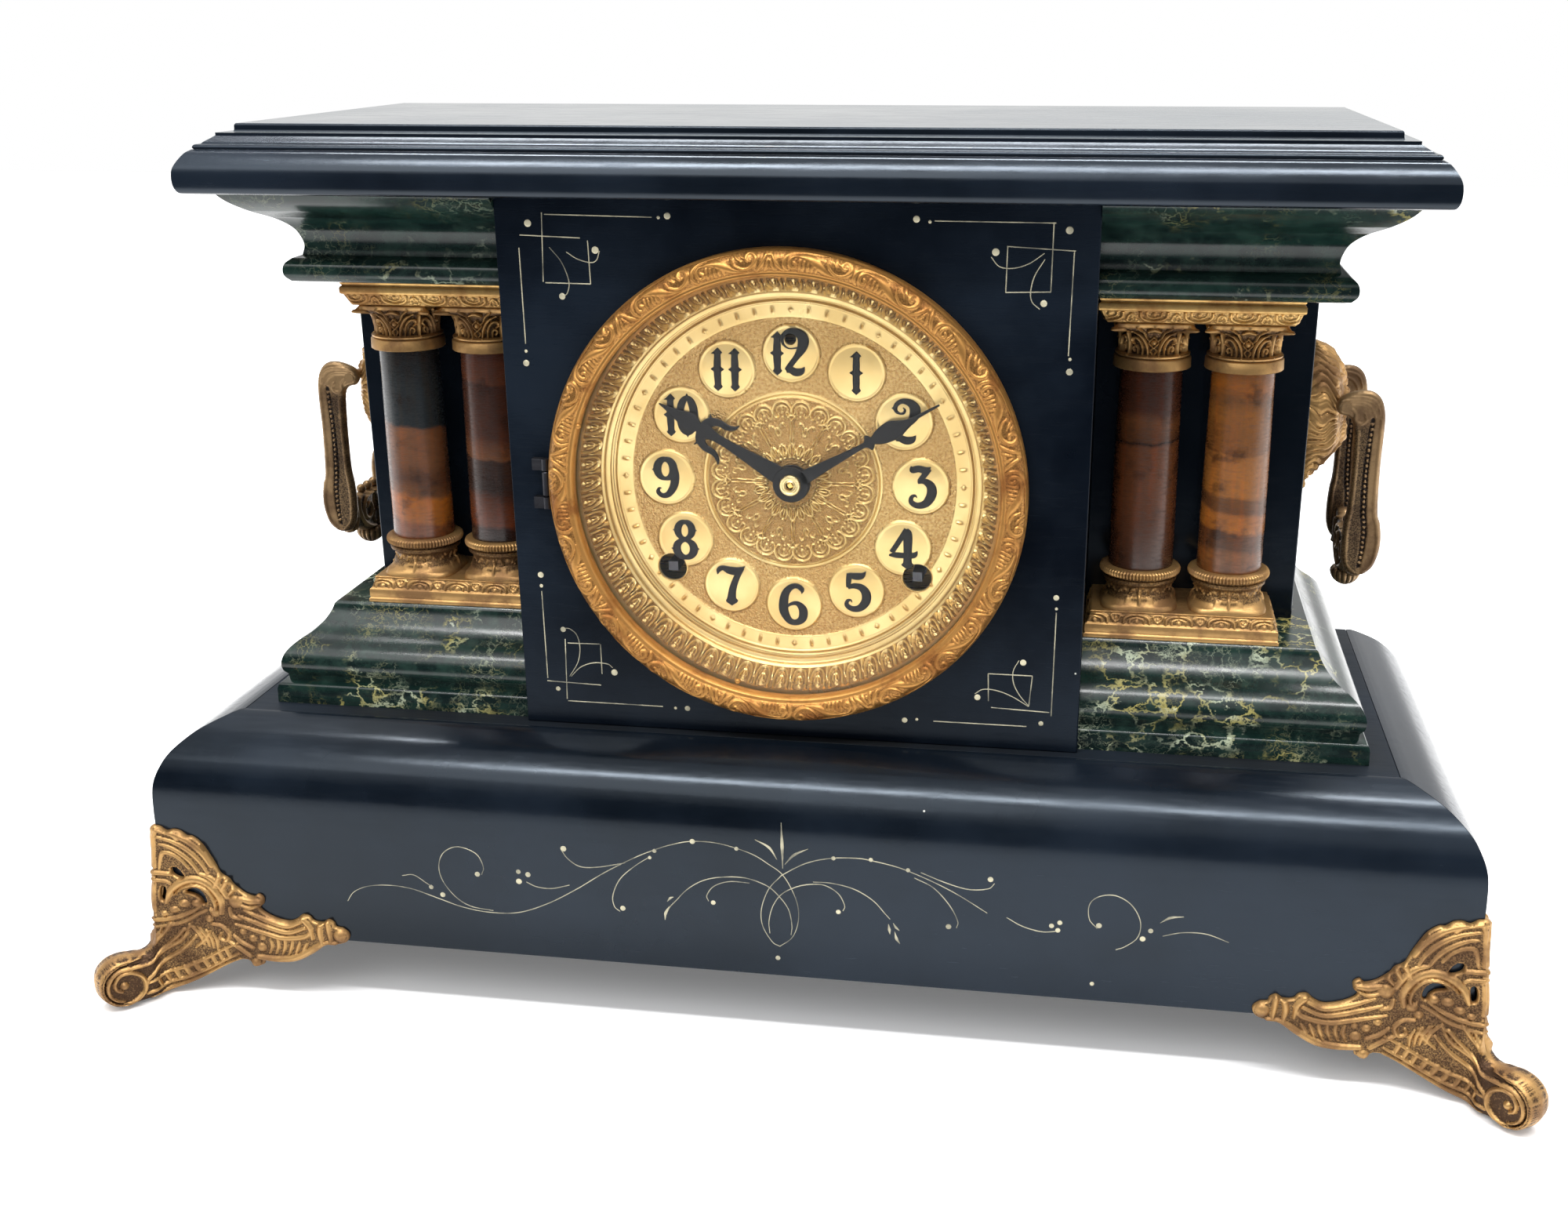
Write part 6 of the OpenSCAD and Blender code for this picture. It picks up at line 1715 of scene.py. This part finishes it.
bulb_z = np.array([-61.2, -61.5, -62.2, -63.2, -64.4, -65.6, -66.6, -67.3, -67.7])
bulb_r = np.array([4.6, 5.6, 6.3, 6.4, 6.0, 5.0, 3.6, 1.9, .05])
turn = np.linspace(0, 2 * np.pi, 96, endpoint=False)[None]
flute = 1 - 0.09 * (1 - np.abs(np.sin(8 * turn))) * step(bulb_r[:, None], 1.0, 4.5)
fluted = bulb_r[:, None] * flute
bulb = np.stack([8 + .8 * fluted * np.cos(turn), fluted * np.sin(turn),
                 bulb_z[:, None] * np.ones_like(turn)], -1)
print("the drop is", round(2 * float(bulb_r.max()), 1), "mm across")


# %% Handles
def ball(x, y, z, r):
    """A small ball: half a circle turned round an upright axis."""
    a = np.linspace(.02, np.pi - .02, 12)
    return turned(np.column_stack([r * np.sin(a), r * np.cos(a)]),
                  lambda u, v, h: np.stack([x + u, y + v, z + h], -1), 20, 0.3)


# each leg and the bar are two castings back to back; the pin runs through both legs
shapes = [(np.column_stack([leg[0][:, 0], middle + face * leg[0][:, 2], leg[0][:, 1]]), *leg[1:])
          for middle in (-21.5, 21.5) for face in (-1, 1)]
shapes += [(np.column_stack([8 + face * bar[0][:, 2], bar[0][:, 0], bar[0][:, 1]]), *bar[1:])
           for face in (-1, 1)]
pin = [(0.01, -24), (1.7, -24), (1.7, 24), (0.01, 24)]
shapes += [(bulb, capped(*flute.shape), (1 - flute) * 8),
           *(ball(8, y, -45.6, 1.75) for y in (-5.4, 0, 5.4)),
           turned(pin, lambda u, v, h: np.stack([u, h, v], -1), 20)]
for side, word in ((-1, "left"), (1, "right")):
    hung = [((np.asarray(p).reshape(-1, 3) + (BAIL_X, 0, 0)) * (side, 1, 1) + (0, MASK_Y, BAIL_Z), f, h)
            for p, f, h in shapes]
    piece(f"bail_handle_{word}", hung, bronzed, body=f"handle_{word}", stands_for=f"handle_{word}",
          sharp=70)

# %% [markdown]
# ## Back door
# The movement is reached through a round door in the back: a spun brass disc with a rolled
# rim, a raised ring and a small push button, on a barrel hinge.

# %% Back door
door_brass = metal_finish("spun_brass", seen(172, 140, 88), seen(150, 116, 70), 0.38)
BOARD_Y = 74.0  # back face of the back board


def behind(cx=0.0):
    """Places (x, z, height) on the back board, cx beside the dial's axis: height towards the wall."""
    return lambda u, v, h: np.stack([DX + cx + u, BOARD_Y + h, DZ + v], -1)


door = [(0.01, .1), (62.5, .1), (62.5, 1.6), (62.1, 2.2), (61.2, 2.5), (60.0, 2.3), (58.9, 1.5),
        (57.2, 1.3), (56.2, 1.7), (55.2, 1.9), (54.2, 1.7), (53.2, 1.25), (48, 1.3), (36, 1.45), (20, 1.55),
        (0.01, 1.6)]
button = [(0.01, 1.3), (4.0, 1.3), (4.0, 2.6), (3.7, 3.1), (3.0, 3.4), (2.4, 3.2), (0.01, 3.1)]
tab = np.array([(DX + x, BOARD_Y + y, DZ + z)
                for x in (58.0, 65.0) for y in (.1, 2.3) for z in (-4.9, 4.9)])
box_faces = np.array([(0, 1, 3, 2), (4, 6, 7, 5), (0, 4, 5, 1), (2, 3, 7, 6), (0, 2, 6, 4), (1, 5, 7, 3)])
piece("back_door_spun", [turned(door, behind(), 144), turned(button, behind(-40.0), 40),
                         (tab, box_faces, 0.0),
                         knuckle(DX + 65.3, 75.7, DZ - 4.9, DZ + 4.9, 1.45)], door_brass,
      body="back_door", stands_for="back_door", sharp=30)

# %% [markdown]
# ## What keeps its CAD shape
# The movement, the door's latch and the small hardware are turned, sawn and filed parts whose
# CAD shape is already the real one. They only get their metal.

# %% Finishes for CAD nodes
for names, material in (
        ("plate_front plate_back centre_arbor minute_wheel hour_wheel second_time great_time third_time "
         "escape_wheel great_strike second_strike cam_strike fly pendulum", brass),
        ("pillars mainsprings verge", steel), ("hardware door_latch wind_time wind_strike", dark_steel),
        ("gong hammer", blued)):
    for name in names.split():
        nodes[name].data.materials.clear()
        nodes[name].data.materials.append(material)
        print(name, "gets", material.name)

# %% [markdown]
# ## Camera
# The camera stands where the photographer stood: a little right of the middle, high enough
# to look down on the top. Its place, turn and focal length were worked out from the edges of
# the case; the shift keeps the object where it sits in the frame.

# %% Camera
def look(yaw, pitch, roll):
    """Right, up and back directions of a camera turned left by yaw, raised by pitch and rolled."""
    ahead = np.array([math.sin(yaw) * math.cos(pitch), math.cos(yaw) * math.cos(pitch), math.sin(pitch)])
    right = np.array([math.cos(yaw), -math.sin(yaw), 0.0])
    up = np.cross(right, ahead)
    c, s = math.cos(roll), math.sin(roll)
    return right * c + up * s, up * c - right * s, -ahead


def stood(right, up, back, place):
    """The matrix of something that stands at place with its own axes along right, up and back."""
    rows = np.stack([right, up, back, place], 1)
    return Matrix([*rows.tolist(), [0, 0, 0, 1]])


FRAME_W, FOCAL = 2000, 2169.2  # width of the picture and focal length, in the picture's pixels
SENSOR = 36.0
lens = bpy.data.cameras.new("camera")
lens.sensor_width, lens.lens = SENSOR, FOCAL / FRAME_W * SENSOR
lens.shift_x, lens.shift_y = -70.6 / FRAME_W, 2.5 / FRAME_W
lens.clip_start = 0.02
camera = bpy.data.objects.new("camera", lens)
camera.matrix_world = stood(*look(-0.155, -0.336, -0.003), (0.09219, -0.55045, 0.31501))
bpy.context.scene.collection.objects.link(camera)
bpy.context.scene.camera = camera
print("lens", round(lens.lens, 2), "mm")

# %% [markdown]
# ## Stage and light
# A pale floor and a white room. Both are white to the camera, in reflections and through
# glass, and dimmer as a lamp, so that pale metal does not burn out. Polished black shows
# little but what it mirrors, so a dark card lies and stands in front, where the viewer would
# be: it is seen in reflections alone and puts no light on the object. One large soft lamp
# stands above and in front; two long narrow ones give the mouldings their streaks.

# %% Room and floor
def white_room(tree, strength, lit):
    """Strength for camera, mirror and glass rays, lit for the light that falls on the object."""
    path = tree.nodes.new("ShaderNodeLightPath").outputs
    seen_by = path["Is Camera Ray"]
    for ray in ("Is Transmission Ray", "Is Glossy Ray"):
        seen_by = add(tree, "Math", operation="MAXIMUM", a=seen_by, b=path[ray])
    return between(tree, seen_by, 0.0, 1.0, lit, strength)


world = bpy.data.worlds.new("white_room")
bpy.context.scene.world = world
world.use_nodes = True
sky = world.node_tree.nodes["Background"]
sky.inputs["Color"].default_value = (1, 1, 1, 1)
world.node_tree.links.new(white_room(world.node_tree, 1.0, 0.72), sky.inputs["Strength"])

floor_skin, t, s = finish("pale_floor", Roughness=0.9)
s.inputs["Specular IOR Level"].default_value = 0.1
where = spots(t)
far = between(t, add(t, "VectorMath", 1, operation="LENGTH", a=where), 0.4, 1.1, 0.12, 0.7)
feed(t, s, Base_Color=mix(t, between(t, noise(t, where, 3.0, 2.0), 0.3, 0.7), seen(252, 252, 252),
                          seen(250, 250, 251)))
s.inputs["Emission Color"].default_value = (1, 1, 1, 1)
glow = times(t, white_room(t, 1.0, 0.0), far)
t.links.new(glow, s.inputs["Emission Strength"])


def stage_sheet(name, points, faces, skin):
    """A flat mesh of the stage from its corners."""
    mesh = bpy.data.meshes.new(name)
    mesh.from_pydata(points, [], faces)
    mesh.materials.append(skin)
    thing = bpy.data.objects.new(name, mesh)
    bpy.context.scene.collection.objects.link(thing)
    return thing


floor = stage_sheet("floor", [(x, y, -0.0002) for x, y in ((-3, -3), (3, -3), (3, 3), (-3, 3))],
                    [(0, 1, 2, 3)], floor_skin)
print("room and floor made")


# %% Card and lamps
def lamp(name, place, aim, size, power):
    """A rectangular area lamp at place, facing aim."""
    light = bpy.data.lights.new(name, "AREA")
    light.shape, light.size, light.size_y, light.energy = "RECTANGLE", *size, power
    thing = bpy.data.objects.new(name, light)
    away = np.array(place, float) - np.array(aim, float)
    away /= np.linalg.norm(away)
    across = np.cross((0, 0, 1), away)
    across /= np.linalg.norm(across)
    thing.matrix_world = stood(across, np.cross(away, across), away, place)
    bpy.context.scene.collection.objects.link(thing)
    return thing


card_skin, t, s = finish("dark_card", Roughness=0.9)
s.inputs["Specular IOR Level"].default_value = 0.0
dark = mix(t, between(t, noise(t, spots(t), 2.0, 3.0), 0.35, 0.65), seen(30, 38, 50), seen(44, 52, 62))
NEAR, FAR, TALL, DARK_FROM = -0.24, -2.4, 1.25, -0.5  # card's edges, its height, and where its fade ends
fade = between(t, add(t, "SeparateXYZ", 1, Vector=spots(t)), NEAR, DARK_FROM)
feed(t, s, Base_Color=mix(t, fade, seen(250, 250, 250), dark))
card_rows = ((NEAR, 0.0004), (FAR, 0.0004), (FAR, TALL))
card = stage_sheet("card", [(x, y, z) for y, z in card_rows for x in (-3, 3)], [(0, 1, 3, 2), (2, 3, 5, 4)],
                   card_skin)
card.visible_camera = card.visible_diffuse = card.visible_transmission = card.visible_shadow = False
lamps = [lamp("soft_lamp", (-0.5, -1.3, 1.5), (0, 0, 0.15), (1.2, 0.9), 9.0),
         lamp("front_strip", (0.1, -0.62, 1.45), (0.1, -0.1, 0.1), (1.6, 0.1), 21.0),
         lamp("top_strip", (0.1, 0.25, 1.45), (0.1, 0.0, 0.1), (1.6, 0.1), 26.0)]
bpy.context.scene.view_settings.view_transform = "Standard"
print(len(lamps), "lamps")
